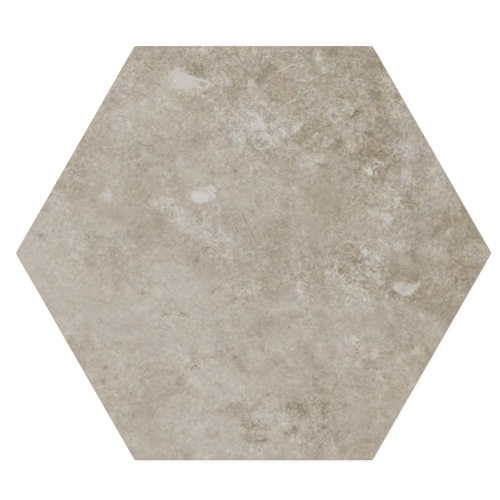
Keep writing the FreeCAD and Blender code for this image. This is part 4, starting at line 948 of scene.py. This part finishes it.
def outline_loop(inset):
    """Points along the outline, moved inward by an inset, with each corner as an arc."""
    corners = outline_corners()
    radius = CORNER_RADIUS - inset
    arcs = []
    for index, corner in enumerate(corners):
        back = (corners[index - 1] - corner).normalized()
        onward = (corners[(index + 1) % 6] - corner).normalized()
        half_angle = back.angle(onward) / 2
        centre = corner + (back + onward).normalized() * CORNER_RADIUS / math.sin(half_angle)
        first = math.atan2(back.x, -back.y)
        sweep = math.pi - 2 * half_angle
        arcs.append((centre, first, sweep))
    points = []
    for index, (centre, first, sweep) in enumerate(arcs):
        for step in range(CORNER_STEPS + 1):
            angle = first + sweep * step / CORNER_STEPS
            points.append(centre + radius * Vector((math.cos(angle), math.sin(angle))))
        following = arcs[(index + 1) % 6]
        start = points[-1]
        end = following[0] + radius * Vector((math.cos(following[1]), math.sin(following[1])))
        for step in range(1, SIDE_STEPS):
            points.append(start.lerp(end, step / SIDE_STEPS))
    return points


class MeshMaker:
    """Collects vertices and faces for one mesh."""

    def __init__(self):
        self.vertices = []
        self.faces = []
        self.materials = []

    def add_vertices(self, points, height):
        """Adds flat points at a height, and returns their numbers."""
        first = len(self.vertices)
        for point in points:
            self.vertices.append((point[0], point[1], height))
        return list(range(first, first + len(points)))

    def add_face(self, corners, material):
        """Adds a face through vertices, anticlockwise as seen from outside."""
        self.faces.append(tuple(corners))
        self.materials.append(material)

    def bridge(self, first, second, material):
        """Faces between two closed loops of as many points, turned outward if the first is the higher."""
        count = len(first)
        for index in range(count):
            after = (index + 1) % count
            self.add_face((first[index], second[index], second[after], first[after]), material)

    def turns_along(self, loop):
        """How far round the origin each point of a loop lies from its first, and at last a whole turn."""
        slack = 1e-6
        angles = [math.atan2(self.vertices[n][1], self.vertices[n][0]) for n in loop]
        return [(angle - angles[0] + slack) % math.tau for angle in angles] + [math.tau]

    def zip_loops(self, inner, outer, material):
        """Triangles between two closed loops round the origin with different counts of points."""
        inner_turns = self.turns_along(inner)
        outer_turns = self.turns_along(outer)
        i = 0
        j = 0
        while i < len(inner) or j < len(outer):
            a = inner[i % len(inner)]
            b = outer[j % len(outer)]
            outer_is_next = j < len(outer) and (i == len(inner) or outer_turns[j + 1] <= inner_turns[i + 1])
            if outer_is_next:
                j += 1
                self.add_face((a, b, outer[j % len(outer)]), material)
            else:
                i += 1
                self.add_face((a, b, inner[i % len(inner)]), material)


def add_face_lattice(maker, corner_inset):
    """A lattice of triangles over the face, as rings round its middle. Returns the outermost ring.

    The outermost ring's corners lie the inset short of the face's sharp ones.
    """
    corners = [corner * (1 - corner_inset / corner.length) for corner in outline_corners()]
    rings = [maker.add_vertices([Vector((0.0, 0.0))], THICKNESS)]
    for ring in range(1, SIDE_STEPS):
        share = ring / (SIDE_STEPS - 1)
        points = []
        for index in range(6):
            start = corners[index] * share
            end = corners[(index + 1) % 6] * share
            points += [start.lerp(end, step / ring) for step in range(ring)]
        rings.append(maker.add_vertices(points, THICKNESS))
    for ring in range(1, SIDE_STEPS):
        inner = rings[ring - 1]
        outer = rings[ring]
        for index in range(6):
            for step in range(ring):
                a = outer[index * ring + step]
                b = outer[(index * ring + step + 1) % len(outer)]
                c = inner[(index * (ring - 1) + step) % len(inner)]
                maker.add_face((a, b, c), FACE)
                if step < ring - 1:
                    d = inner[(index * (ring - 1) + step + 1) % len(inner)]
                    maker.add_face((c, b, d), FACE)
    return rings[-1]


def edge_profile():
    """Insets and heights from the face's edge, over the arris and down the side to the bed plane."""
    profile = []
    for step in range(ARRIS_STEPS + 1):
        angle = math.pi / 2 * step / ARRIS_STEPS
        inset = ARRIS_RADIUS * (1 - math.sin(angle))
        height = THICKNESS - ARRIS_RADIUS * (1 - math.cos(angle))
        profile.append((inset, height))
    band_top = THICKNESS - ARRIS_RADIUS
    for step in range(1, BAND_STEPS + 1):
        profile.append((0.0, band_top + (TAPER_HEIGHT - band_top) * step / BAND_STEPS))
    slope = math.hypot(TAPER_HEIGHT, TAPER_INSET)
    chamfer_height = BACK_CHAMFER * TAPER_HEIGHT / slope
    chamfer_inset = TAPER_INSET - BACK_CHAMFER * TAPER_INSET / slope
    profile.append((chamfer_inset / 2, (TAPER_HEIGHT + chamfer_height) / 2))
    profile.append((chamfer_inset, chamfer_height))
    profile.append((TAPER_INSET + BACK_CHAMFER, 0.0))
    return profile


def pocket_centres():
    """The centres of the honeycomb's pockets."""
    pitch = POCKET_ACROSS_FLATS + RIB_WIDTH
    row_pitch = pitch * math.sqrt(3) / 2
    clearance = TAPER_INSET + BACK_CHAMFER + BACK_LAND + POCKET_ACROSS_FLATS / math.sqrt(3)
    corners = outline_corners()
    sides = []
    for index, start in enumerate(corners):
        along = (corners[(index + 1) % 6] - start).normalized()
        normal = Vector((along.y, -along.x))
        sides.append((normal, normal.dot(start) - clearance))
    rows = math.ceil(ACROSS_FLATS / 2 / row_pitch)
    columns = math.ceil(ACROSS_CORNERS / 2 / pitch)
    centres = []
    for row in range(-rows, rows + 1):
        for column in range(-columns - 1, columns + 1):
            centre = Vector(((column + (row % 2) / 2) * pitch, row * row_pitch))
            if all(normal.dot(centre) <= reach for normal, reach in sides):
                centres.append(centre)
    return centres


def hexagon_points(centre, across_flats):
    """The corners of a pocket's hexagon, anticlockwise, with two sides parallel to Y."""
    radius = across_flats / math.sqrt(3)
    angles = [math.radians(30 + 60 * step) for step in range(6)]
    return [centre + radius * Vector((math.cos(angle), math.sin(angle))) for angle in angles]


def inside_pocket(offset):
    """Whether an offset from a pocket's centre lies in its mouth."""
    directions = [Vector((math.cos(math.radians(a)), math.sin(math.radians(a)))) for a in (0, 60, 120)]
    return all(abs(offset.dot(direction)) < POCKET_ACROSS_FLATS / 2 for direction in directions)


def pocket_profile():
    """Across-flats sizes and depths from the mouth of a pocket to its floor, with soft edges."""
    rounding = POCKET_EDGE_ROUNDING
    mouth = POCKET_ACROSS_FLATS
    floor = POCKET_ACROSS_FLATS - 2 * POCKET_DRAFT
    return [
        (mouth + rounding, 0.0),
        (mouth - rounding / 2, rounding / 2),
        (floor + rounding / 2, POCKET_DEPTH - rounding / 2),
        (floor - rounding, POCKET_DEPTH),
    ]


def add_back(maker, outer_loop):
    """The bed plane inside the outer loop, and the pockets in it."""
    profile = pocket_profile()
    centres = pocket_centres()
    loops = []
    for centre in centres:
        loops.append(maker.add_vertices(hexagon_points(centre, profile[0][0]), 0.0))
    numbers = list(outer_loop)
    for loop in loops:
        numbers += loop
    flat = [Vector(maker.vertices[n][:2]) for n in numbers]
    place = {number: index for index, number in enumerate(numbers)}
    edges = []
    for loop in [outer_loop] + loops:
        edges += [(place[n], place[loop[(i + 1) % len(loop)]]) for i, n in enumerate(loop)]
    inside_edges = 1
    least_distance = 1e-7
    found = geometry.delaunay_2d_cdt(flat, edges, [], inside_edges, least_distance)
    points, _, triangles, sources = found[:4]
    for triangle in triangles:
        middle = sum((points[n] for n in triangle), Vector((0.0, 0.0))) / 3
        if not any(inside_pocket(middle - centre) for centre in centres):
            maker.add_face([numbers[sources[n][0]] for n in reversed(triangle)], BACK)
    for centre, loop in zip(centres, loops):
        for across_flats, depth in profile[1:]:
            deeper = maker.add_vertices(hexagon_points(centre, across_flats), depth)
            maker.bridge(loop, deeper, BACK)
            loop = deeper
        maker.add_face(reversed(loop), BACK)


def tile_mesh():
    """The tile's whole skin, with its painted fields as attributes."""
    maker = MeshMaker()
    lattice_step = FLAT_SIDE_LENGTH / SIDE_STEPS
    ring = add_face_lattice(maker, ARRIS_RADIUS + 1.5 * lattice_step)
    loops = [maker.add_vertices(outline_loop(inset), height) for inset, height in edge_profile()]
    # The lattice's ring begins on +X, in the middle of the first corner's arc.
    middle = CORNER_STEPS // 2
    maker.zip_loops(ring, loops[0][middle:] + loops[0][:middle], FACE)
    for index in range(len(loops) - 1):
        maker.bridge(loops[index], loops[index + 1], FACE if index < ARRIS_STEPS - 1 else SIDE)
    add_back(maker, loops[-1])

    points = np.array(maker.vertices)
    x, y, z = points.T
    fields = face_fields(x, y)
    share = np.clip((z - (THICKNESS - ARRIS_RADIUS)) / ARRIS_RADIUS, 0.0, 1.0)
    points[:, 2] -= share * face_relief(x, y, fields["contrast"])

    mesh = bpy.data.meshes.new("tile")
    mesh.from_pydata((points * MM).tolist(), [], maker.faces)
    for name, values in fields.items():
        attribute = mesh.attributes.new(name, "FLOAT", "POINT")
        attribute.data.foreach_set("value", values.astype(np.float32))
    mesh.polygons.foreach_set("material_index", maker.materials)
    mesh.update()
    return mesh


# Materials

# The curve between a channel's level and its linear value.
SRGB_OFFSET = 0.055
SRGB_POWER = 2.4
SRGB_KNEE = 0.04045
SRGB_KNEE_SLOPE = 12.92
WHITE_LEVEL = 255

# How much red and blue count in a luminance level.
RED_SHARE = 0.2126
BLUE_SHARE = 0.0722

# Levels are shades as a picture's bytes show them, from 0 to 255. These are the glaze's common ones,
# and the red over green and green over blue of the chalk.
GLAZE_LEVEL = 169.5
RED_OVER_GREEN = 9.6
GREEN_OVER_BLUE = 14.0
CHALK_RED_OVER_GREEN = 2.6
CHALK_GREEN_OVER_BLUE = 7.8

# The glaze's fine markings: the size of their cells in millimetres and their strength in levels.
CLUMPS = (1.9, 4.9)
BLOTCHES = (3.5, 10.8)
RIDGES = [(2.2, 17.0), (1.1, 5.0)]
CURLS = [(3.0, 15.0), (4.2, -13.0), (3.4, -13.0), (2.6, 13.0), (3.8, 15.0), (2.4, -13.0)]

# The size of the cells of the other noises: of how dense the crumbs lie, of how the edges of tones, dark
# marks and chalk wander, of how thin chalk breaks up, and of the clouds of hue.
DENSITY_CELL = 3.2
TONE_EDGE_CELL = 1.5
DARK_EDGE_CELL = 0.9
CHALK_EDGE_CELL = 1.3
CHALK_BREAK_CELL = 1.5
OLIVE_CELL = 5.5
HUE_CELL = 5.0

# How the fine markings are made up: how soft the clumps' edges are, how high the ridges' noise is on
# the whole, how wide the curls are, how large their patches are and how soft at the edge, how far the
# density of the crumbs spreads, and the least and the most that all of them come to.
CLUMP_SOFTNESS = 0.3
RIDGE_MEAN = 0.18
CURL_WIDTH = 0.18
CURL_PATCH_CELL = 4.0
CURL_PATCH_SOFTNESS = 0.1
DENSITY_SPREAD = 1.7
LEAST_FINE = -26.0
MOST_FINE = 21.0

# Pinholes: the size of the cells they lie in, the share of the cells with one, the part of that share
# in which they are faint, the radius of the widest, how soft their rims are, and how dark they are.
PINHOLE_CELL = 2.6
PINHOLE_SHARE = 0.35
PINHOLE_FAINT_PART = 0.2
PINHOLE_RADIUS = 0.4
PINHOLE_SOFTNESS = 0.15
PINHOLE_DARKENING = 8.0

# How far the tones' edges wander finely.
EDGE_NUDGE = 2.2

# How far past a stroke's edge its depth is cut down, and by how much.
STROKE_REACH = (-0.4, -0.1)
STROKE_CUT = 2.0

# The placed dark marks: how dark they are, how far their edges wander, and how deep in them they begin
# and are full.
DARK_MARK_DARKENING = 18.0
DARK_MARK_WANDER = 0.25
DARK_MARK_EDGE = (-0.4, 0.2)

# The placed chalk: how far the edges of its patches and strokes wander, how deep in them it begins and
# is full, where thin chalk breaks up, and how much it hides of the fine markings.
CHALK_PATCH_WANDER = 0.5
CHALK_STROKE_WANDER = 0.2
CHALK_EDGE = (-0.35, 0.3)
CHALK_BREAKS = (-0.2, 0.12)
CHALK_HIDING = 0.8

# How the levels between the channels follow the tone and the warmth.
RED_BY_TONE = -0.13
YELLOW_BY_TONE = -0.23
RED_BY_WARMTH = 0.4
YELLOW_BY_WARMTH = 0.6
CHALK_YELLOW_BY_WARMTH = 0.5

# Soft clouds of hue, in levels: pink and yellow ones, and olive ones that take red and add yellow.
PINK_CLOUDS = 2.8
YELLOW_CLOUDS = 3.2
OLIVE_RED_LOSS = 2.2
OLIVE_YELLOW_GAIN = 3.0

# The glaze's matte surface: its roughness, how much rougher each level of its markings makes it, and
# its bump.
GLAZE_ROUGHNESS = 0.58
ROUGHNESS_BY_FINE = 0.004
GLAZE_BUMP = 0.15
GLAZE_BUMP_DEPTH = 0.0015

# The bare body: its levels at the sides and the back, the size of the cells of its clouds and its grain,
# between which values of the noise the clouds and the specks in the grain grow, how far they stray from
# those levels, and how strongly the specks show. Then how rough it is, and its bump.
SIDE_LEVELS = (190, 178, 160)
BACK_LEVELS = (196, 183, 164)
CLOUD_CELL = 14.0
GRAIN_CELL = 0.6
CLOUD_SPAN = (0.3, 0.7)
SPECK_SPAN = (0.55, 0.75)
CLOUD_LEVELS = (-14, 10)
SPECK_LEVELS = -45
SPECK_STRENGTH = 0.35
BODY_ROUGHNESS = 0.85
BODY_BUMP = 0.4
BODY_BUMP_DEPTH = 0.06


def srgb_to_linear(level):
    """The linear value of one channel's level."""
    value = level / WHITE_LEVEL
    if value <= SRGB_KNEE:
        return value / SRGB_KNEE_SLOPE
    return ((value + SRGB_OFFSET) / (1 + SRGB_OFFSET)) ** SRGB_POWER


def colour(levels, shift):
    """A linear colour with alpha from the levels of its channels, each shifted by so many."""
    return tuple(srgb_to_linear(level + shift) for level in levels) + (1.0,)


class Shader:
    """Short calls that add nodes to one material or world."""

    def __init__(self, owner):
        owner.use_nodes = True
        self.tree = owner.node_tree
        self.tree.nodes.clear()

    def add(self, kind, inputs=(), **settings):
        """A node with its settings, and its inputs by name or number as values or sockets."""
        node = self.tree.nodes.new(kind)
        for name, value in settings.items():
            setattr(node, name, value)
        for key, value in dict(inputs).items():
            if isinstance(value, bpy.types.NodeSocket):
                self.tree.links.new(value, node.inputs[key])
            else:
                node.inputs[key].default_value = value
        return node

    def math(self, operation, a, b=0.0, c=0.0):
        """The result of one operation on values or sockets."""
        return self.add("ShaderNodeMath", {0: a, 1: b, 2: c}, operation=operation).outputs[0]

    def scaled(self, value, factor, offset=0.0):
        """A value times a factor, plus an offset."""
        return self.math("MULTIPLY_ADD", value, factor, offset)

    def ramp(self, value, low, high, out_low=0.0, out_high=1.0):
        """A smooth step from one output to another as a value goes from low to high."""
        inputs = {"Value": value, "From Min": low, "From Max": high, "To Min": out_low, "To Max": out_high}
        return self.add("ShaderNodeMapRange", inputs, interpolation_type="SMOOTHSTEP").outputs[0]

    def noise(self, vector, wavelength, detail=0.0, roughness=0.5, distortion=0.0, normalize=False):
        """Noise whose broadest waves are about so many millimetres long.

        It lies about nought, mostly between -0.6 and 0.6, or normalized between 0 and 1.
        """
        inputs = {"Vector": vector, "Scale": 1 / wavelength, "Detail": detail, "Roughness": roughness,
                  "Distortion": distortion}
        return self.add("ShaderNodeTexNoise", inputs, normalize=normalize).outputs["Fac"]

    def moved(self, vector, offset):
        """Places moved by an offset, so that one noise differs from the next."""
        return self.add("ShaderNodeVectorMath", {0: vector, 1: offset}, operation="ADD").outputs[0]

    def blend(self, factor, a, b):
        """A value that goes from one to another as a factor goes from 0 to 1."""
        return self.add("ShaderNodeMix", {0: factor, 2: a, 3: b}, data_type="FLOAT").outputs[0]

    def blend_colours(self, factor, a, b):
        """A colour that goes from one to another as a factor goes from 0 to 1."""
        return self.add("ShaderNodeMix", {0: factor, 6: a, 7: b}, data_type="RGBA").outputs[2]

    def level_colour(self, level, red_over_green, green_over_blue):
        """The linear colour of a luminance level and the levels between its channels."""
        green = self.math("MULTIPLY_ADD", red_over_green, -RED_SHARE, level)
        green = self.math("MULTIPLY_ADD", green_over_blue, BLUE_SHARE, green)
        red = self.math("ADD", green, red_over_green)
        blue = self.math("SUBTRACT", green, green_over_blue)
        factor = 1 / (WHITE_LEVEL * (1 + SRGB_OFFSET))
        offset = SRGB_OFFSET / (1 + SRGB_OFFSET)
        channels = [self.scaled(channel, factor, offset) for channel in (red, green, blue)]
        joined = self.add("ShaderNodeCombineColor", dict(enumerate(channels)))
        return self.add("ShaderNodeGamma", {"Color": joined.outputs[0], "Gamma": SRGB_POWER}).outputs[0]

    def attribute(self, name):
        """One of the mesh's painted fields."""
        return self.add("ShaderNodeAttribute", attribute_name=name).outputs["Fac"]

    def millimetres(self, offset=(0.0, 0.0, 0.0)):
        """Places on the piece in millimetres, moved by an offset."""
        place = self.add("ShaderNodeTexCoord").outputs["Object"]
        inputs = {"Vector": place, "Location": offset, "Scale": (1 / MM, 1 / MM, 1 / MM)}
        return self.add("ShaderNodeMapping", inputs).outputs[0]

    def surface(self, shader):
        """Makes a shader the material's surface."""
        self.add("ShaderNodeOutputMaterial", {"Surface": shader})

    def bumped_surface(self, base, roughness, height, strength, depth):
        """Makes the material's surface from its colour, its roughness and the height of its bump."""
        bump = self.add("ShaderNodeBump", {"Height": height, "Strength": strength, "Distance": depth * MM})
        shade = self.add("ShaderNodeBsdfPrincipled", {
            "Base Color": base,
            "Roughness": roughness,
            "Normal": bump.outputs[0],
        })
        self.surface(shade.outputs[0])


def stroke_depth(s, name):
    """How deep a point lies inside the nearest stroke, below nought outside it.

    The distance off the stroke is kept with its side, so that it crosses nought exactly on the line. Where
    the nearest stroke changes it jumps from one side to the other, and the second, plain distance tells
    that from a true crossing.
    """
    depth = s.math("SUBTRACT", s.attribute(name + "_half"), s.math("ABSOLUTE", s.attribute(name + "_off")))
    return s.math("ADD", depth, s.ramp(s.attribute(name + "_reach"), *STROKE_REACH, -STROKE_CUT, 0.0))


def crumbs(s, place):
    """Clumps, blotches and thin ridges in levels, about nought."""
    cell, strength = CLUMPS
    clump = s.noise(place, cell, detail=2.0, roughness=0.76, distortion=1.0)
    total = s.ramp(clump, -CLUMP_SOFTNESS, CLUMP_SOFTNESS, -strength, strength)
    cell, strength = BLOTCHES
    blotch = s.noise(s.moved(place, (44.0, 2.0, 7.0)), cell, detail=3.0, roughness=0.85, distortion=1.5)
    total = s.math("MULTIPLY_ADD", blotch, strength, total)
    for index, (cell, strength) in enumerate(RIDGES):
        moved = s.moved(place, (5.0 + 13.0 * index, 29.0 * index, 1.0 + 1.7 * index))
        height = s.math("ABSOLUTE", s.noise(moved, cell, distortion=1.5))
        total = s.math("ADD", s.scaled(height, -strength, RIDGE_MEAN * strength), total)
    return total


def curls(s, place):
    """Thin, winding light and dark strokes in levels, in patches of their own."""
    total = 0.0
    for index, (cell, strength) in enumerate(CURLS):
        moved = s.moved(place, (5.0 + 23.0 * index, 39.0 * index, 4.0 + 2.7 * index))
        wave = s.noise(moved, cell, detail=1.0, roughness=0.4, distortion=1.2)
        line = s.ramp(s.math("ABSOLUTE", wave), 0.0, CURL_WIDTH, strength, 0.0)
        patch = s.noise(s.moved(moved, (50.0, 3.0, 7.0)), CURL_PATCH_CELL, detail=1.0)
        patch = s.ramp(patch, -CURL_PATCH_SOFTNESS, CURL_PATCH_SOFTNESS)
        total = s.math("MULTIPLY_ADD", line, patch, total)
    return total


def pinholes(s, place):
    """1 in small round holes: one in some of the cells, each its own width, and 0 between them."""
    node = s.add("ShaderNodeTexVoronoi", {"Vector": place, "Scale": 1 / PINHOLE_CELL, "Randomness": 1.0},
                 voronoi_dimensions="2D")
    chance = s.add("ShaderNodeSeparateColor", {0: node.outputs["Color"]}).outputs[0]
    radius = s.ramp(chance, 1.0 - PINHOLE_SHARE, 1.0, 0.0, PINHOLE_RADIUS)
    rim = s.math("SUBTRACT", s.scaled(node.outputs["Distance"], PINHOLE_CELL), radius)
    hole = s.ramp(rim, -PINHOLE_SOFTNESS, PINHOLE_SOFTNESS, 1.0, 0.0)
    full_chance = 1.0 - (1.0 - PINHOLE_FAINT_PART) * PINHOLE_SHARE
    return s.math("MULTIPLY", hole, s.ramp(chance, 1.0 - PINHOLE_SHARE, full_chance))


def edged_tone(s, place, contrast):
    """The placed tones in levels, with edges that wander finely."""
    tone = s.attribute("tone")
    for index, slope in enumerate(("tone_across", "tone_up")):
        moved = s.moved(place, (51.0 - 36.0 * index, 13.0 + 48.0 * index, 6.0 + 3.0 * index))
        nudge = s.noise(moved, TONE_EDGE_CELL, detail=2.0, roughness=0.6)
        nudge = s.math("MULTIPLY", s.scaled(nudge, EDGE_NUDGE), contrast)
        tone = s.math("MULTIPLY_ADD", nudge, s.attribute(slope), tone)
    return tone


def fine_markings(s, place, contrast):
    """The crumbs, curls, pinholes and placed dark marks in levels."""
    density = s.noise(s.moved(place, (9.0, 77.0, 2.0)), DENSITY_CELL, detail=2.0, roughness=0.7)
    density = s.math("POWER", DENSITY_SPREAD, density)
    fine = s.math("MULTIPLY_ADD", crumbs(s, place), density, curls(s, place))
    fine = s.math("MULTIPLY", fine, contrast)
    fine = s.math("MINIMUM", s.math("MAXIMUM", fine, LEAST_FINE), MOST_FINE)
    holes = pinholes(s, s.moved(place, (3.0, 8.0, 0.0)))
    fine = s.math("MULTIPLY_ADD", holes, -PINHOLE_DARKENING, fine)
    wander = s.noise(s.moved(place, (19.0, 5.0, 2.0)), DARK_EDGE_CELL, detail=1.0)
    depth = s.math("MAXIMUM", s.attribute("dark_depth"), stroke_depth(s, "dark"))
    depth = s.math("MULTIPLY_ADD", wander, DARK_MARK_WANDER, depth)
    return s.math("MULTIPLY_ADD", s.ramp(depth, *DARK_MARK_EDGE), -DARK_MARK_DARKENING, fine)


def chalk_cover(s, place, thickness):
    """How much the placed chalk covers, from 0 to 1. Where it is thin it breaks up into crumbs."""
    wander = s.noise(s.moved(place, (7.0, 23.0, 4.0)), CHALK_EDGE_CELL, detail=2.0, distortion=0.4)
    patch = s.math("MULTIPLY_ADD", wander, CHALK_PATCH_WANDER, s.attribute("chalk_depth"))
    stroke = s.math("MULTIPLY_ADD", wander, CHALK_STROKE_WANDER, stroke_depth(s, "chalk"))
    depth = s.math("MAXIMUM", patch, stroke)
    breaks = s.noise(s.moved(place, (37.0, 57.0, 3.0)), CHALK_BREAK_CELL, detail=2.0, roughness=0.6)
    cover = s.blend(thickness, s.ramp(breaks, *CHALK_BREAKS), 1.0)
    cover = s.math("MULTIPLY", cover, s.math("SQRT", thickness))
    return s.math("MULTIPLY", cover, s.ramp(depth, *CHALK_EDGE))


def hue_clouds(s, place):
    """Levels of red over green and of green over blue that soft clouds of hue bring."""
    olive = s.noise(s.moved(place, (11.0, 97.0, 4.0)), OLIVE_CELL, detail=2.0)
    pink = s.noise(s.moved(place, (41.0, 67.0, 8.0)), HUE_CELL, detail=2.0)
    yellow = s.noise(s.moved(place, (73.0, 31.0, 6.0)), HUE_CELL, detail=2.0)
    more_red = s.math("SUBTRACT", s.scaled(pink, PINK_CLOUDS), s.scaled(olive, OLIVE_RED_LOSS))
    more_yellow = s.math("ADD", s.scaled(yellow, YELLOW_CLOUDS), s.scaled(olive, OLIVE_YELLOW_GAIN))
    return more_red, more_yellow


def glaze_material():
    """The matte, printed glaze of the face, with the chalk in it."""
    material = bpy.data.materials.new("printed_glaze")
    s = Shader(material)
    place = s.millimetres()
    contrast = s.attribute("contrast")
    warmth = s.attribute("warmth")
    placed_red = s.attribute("pink")
    placed_yellow = s.attribute("yellow")
    rim = s.attribute("rim")
    tone = edged_tone(s, place, contrast)
    fine = fine_markings(s, place, contrast)
    cloud_red, cloud_yellow = hue_clouds(s, place)

    level = s.math("ADD", s.math("ADD", tone, GLAZE_LEVEL), fine)
    red_over_green = s.math("MULTIPLY_ADD", tone, RED_BY_TONE, RED_OVER_GREEN)
    red_over_green = s.math("MULTIPLY_ADD", warmth, RED_BY_WARMTH, red_over_green)
    red_over_green = s.math("MULTIPLY_ADD", cloud_red, contrast, red_over_green)
    red_over_green = s.math("ADD", placed_red, red_over_green)
    green_over_blue = s.math("MULTIPLY_ADD", tone, YELLOW_BY_TONE, GREEN_OVER_BLUE)
    green_over_blue = s.math("MULTIPLY_ADD", warmth, YELLOW_BY_WARMTH, green_over_blue)
    green_over_blue = s.math("MULTIPLY_ADD", cloud_yellow, contrast, green_over_blue)
    green_over_blue = s.math("ADD", placed_yellow, green_over_blue)
    # Painted shade along the edge: the glaze is made less yellow there.
    green_over_blue = s.math("MULTIPLY_ADD", rim, -RIM_SHADE_GREYING, green_over_blue)

    thickness = s.attribute("chalk_thickness")
    chalk = chalk_cover(s, place, thickness)
    shown = s.scaled(thickness, -CHALK_HIDING, 1.0)
    chalk_level = s.math("MULTIPLY_ADD", fine, shown, s.attribute("chalk_level"))
    chalk_red = s.math("MULTIPLY_ADD", warmth, RED_BY_WARMTH, CHALK_RED_OVER_GREEN)
    chalk_red = s.math("ADD", placed_red, chalk_red)
    chalk_yellow = s.math("MULTIPLY_ADD", warmth, CHALK_YELLOW_BY_WARMTH, CHALK_GREEN_OVER_BLUE)
    chalk_yellow = s.math("ADD", placed_yellow, chalk_yellow)

    hue_cover = s.math("MULTIPLY", chalk, thickness)
    level = s.blend(chalk, level, chalk_level)
    # Painted shade along the edge: the glaze is made darker there.
    level = s.math("MULTIPLY_ADD", rim, -RIM_PAINTED_SHADE, level)
    red_over_green = s.blend(hue_cover, red_over_green, chalk_red)
    green_over_blue = s.blend(hue_cover, green_over_blue, chalk_yellow)
    base = s.level_colour(level, red_over_green, green_over_blue)
    roughness = s.scaled(fine, ROUGHNESS_BY_FINE, GLAZE_ROUGHNESS)
    s.bumped_surface(base, roughness, fine, GLAZE_BUMP, GLAZE_BUMP_DEPTH)
    return material


def body_material(name, levels, offset):
    """The bare fired body, as the sides and the back show it."""
    material = bpy.data.materials.new(name)
    s = Shader(material)
    place = s.millimetres(offset)
    grain = s.noise(place, GRAIN_CELL, detail=2.0, roughness=0.6, normalize=True)
    cloud = s.noise(place, CLOUD_CELL, detail=3.0, roughness=0.55, normalize=True)
    dark, light = [colour(levels, shift) for shift in CLOUD_LEVELS]
    base = s.blend_colours(s.ramp(cloud, *CLOUD_SPAN), dark, light)
    specks = s.ramp(grain, *SPECK_SPAN, 0.0, SPECK_STRENGTH)
    base = s.blend_colours(specks, base, colour(levels, SPECK_LEVELS))
    s.bumped_surface(base, BODY_ROUGHNESS, grain, BODY_BUMP, BODY_BUMP_DEPTH)
    return material


# The studio

CAMERA_LENS = 200.0
SENSOR_WIDTH = 36.0
NEAREST_SEEN = 10.0
FARTHEST_SEEN = 10000.0

# The white surroundings and the white floor look brighter to the camera than they light the tile.
AMBIENT = 0.8
WHITE = (1.0, 1.0, 1.0, 1.0)
FLOOR_COLOUR = (0.62, 0.62, 0.62, 1.0)
FLOOR_GLOW = 0.6
FLOOR_SIZE = 4000.0

# The soft lamp: its place, the side of its square, and its power in watts.
LAMP_PLACE = Vector((-700.0, 700.0, 2400.0))
LAMP_SIZE = 900.0
LAMP_POWER = 12.0


def camera_sees(shader):
    """1 for what the camera sees, straight or in a reflection or through glass."""
    path = shader.add("ShaderNodeLightPath")
    seen = shader.math("MAXIMUM", path.outputs["Is Camera Ray"], path.outputs["Is Glossy Ray"])
    return shader.math("MAXIMUM", seen, path.outputs["Is Transmission Ray"])


def make_world():
    """Even white surroundings."""
    world = bpy.data.worlds.new("studio")
    bpy.context.scene.world = world
    s = Shader(world)
    strength = s.scaled(camera_sees(s), 1.0 - AMBIENT, AMBIENT)
    background = s.add("ShaderNodeBackground", {"Color": WHITE, "Strength": strength})
    s.add("ShaderNodeOutputWorld", {"Surface": background.outputs[0]})


def make_floor():
    """A plain white floor that the tile lies on."""
    half = FLOOR_SIZE / 2 * MM
    mesh = bpy.data.meshes.new("floor")
    corners = [(-half, -half, 0.0), (half, -half, 0.0), (half, half, 0.0), (-half, half, 0.0)]
    mesh.from_pydata(corners, [], [(0, 1, 2, 3)])
    floor = bpy.data.objects.new("floor", mesh)
    bpy.context.scene.collection.objects.link(floor)
    material = bpy.data.materials.new("white_floor")
    s = Shader(material)
    matte = s.add("ShaderNodeBsdfDiffuse", {"Color": FLOOR_COLOUR})
    glow = s.add("ShaderNodeEmission", {"Strength": s.scaled(camera_sees(s), FLOOR_GLOW)})
    both = s.add("ShaderNodeAddShader", {0: matte.outputs[0], 1: glow.outputs[0]})
    s.surface(both.outputs[0])
    mesh.materials.append(material)


def make_lamp():
    """A square soft lamp that points at the tile's middle."""
    data = bpy.data.lights.new("key_lamp", "AREA")
    data.shape = "SQUARE"
    data.size = LAMP_SIZE * MM
    data.energy = LAMP_POWER
    lamp = bpy.data.objects.new("key_lamp", data)
    lamp.location = LAMP_PLACE * MM
    lamp.rotation_euler = (-LAMP_PLACE).to_track_quat("-Z", "Y").to_euler()
    bpy.context.scene.collection.objects.link(lamp)


def make_camera():
    """A camera straight above, with the tile where the photograph has it."""
    data = bpy.data.cameras.new("camera")
    data.lens = CAMERA_LENS
    data.sensor_width = SENSOR_WIDTH
    data.clip_start = NEAREST_SEEN * MM
    data.clip_end = FARTHEST_SEEN * MM
    view_width = FRAME_PIXELS / PIXELS_PER_MM
    distance = view_width * CAMERA_LENS / SENSOR_WIDTH
    middle_pixel = (FRAME_PIXELS - 1) / 2
    camera = bpy.data.objects.new("camera", data)
    camera.location = Vector((
        (middle_pixel - TILE_CENTRE_PIXEL[0]) / PIXELS_PER_MM,
        (TILE_CENTRE_PIXEL[1] - middle_pixel) / PIXELS_PER_MM,
        THICKNESS + distance,
    )) * MM
    bpy.context.scene.collection.objects.link(camera)
    bpy.context.scene.camera = camera


def make_tile():
    """The tile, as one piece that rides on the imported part's body."""
    tile = bpy.data.objects.new("tile", tile_mesh())
    bpy.context.scene.collection.objects.link(tile)
    tile.data.materials.append(glaze_material())
    tile.data.materials.append(body_material("bare_side", SIDE_LEVELS, (0.0, 0.0, 0.0)))
    tile.data.materials.append(body_material("bare_back", BACK_LEVELS, (40.0, 9.0, 5.0)))
    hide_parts(NODE)
    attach(tile, BODY)


# The scene

make_tile()
make_floor()
make_world()
make_lamp()
make_camera()
bpy.context.scene.view_settings.view_transform = "Standard"
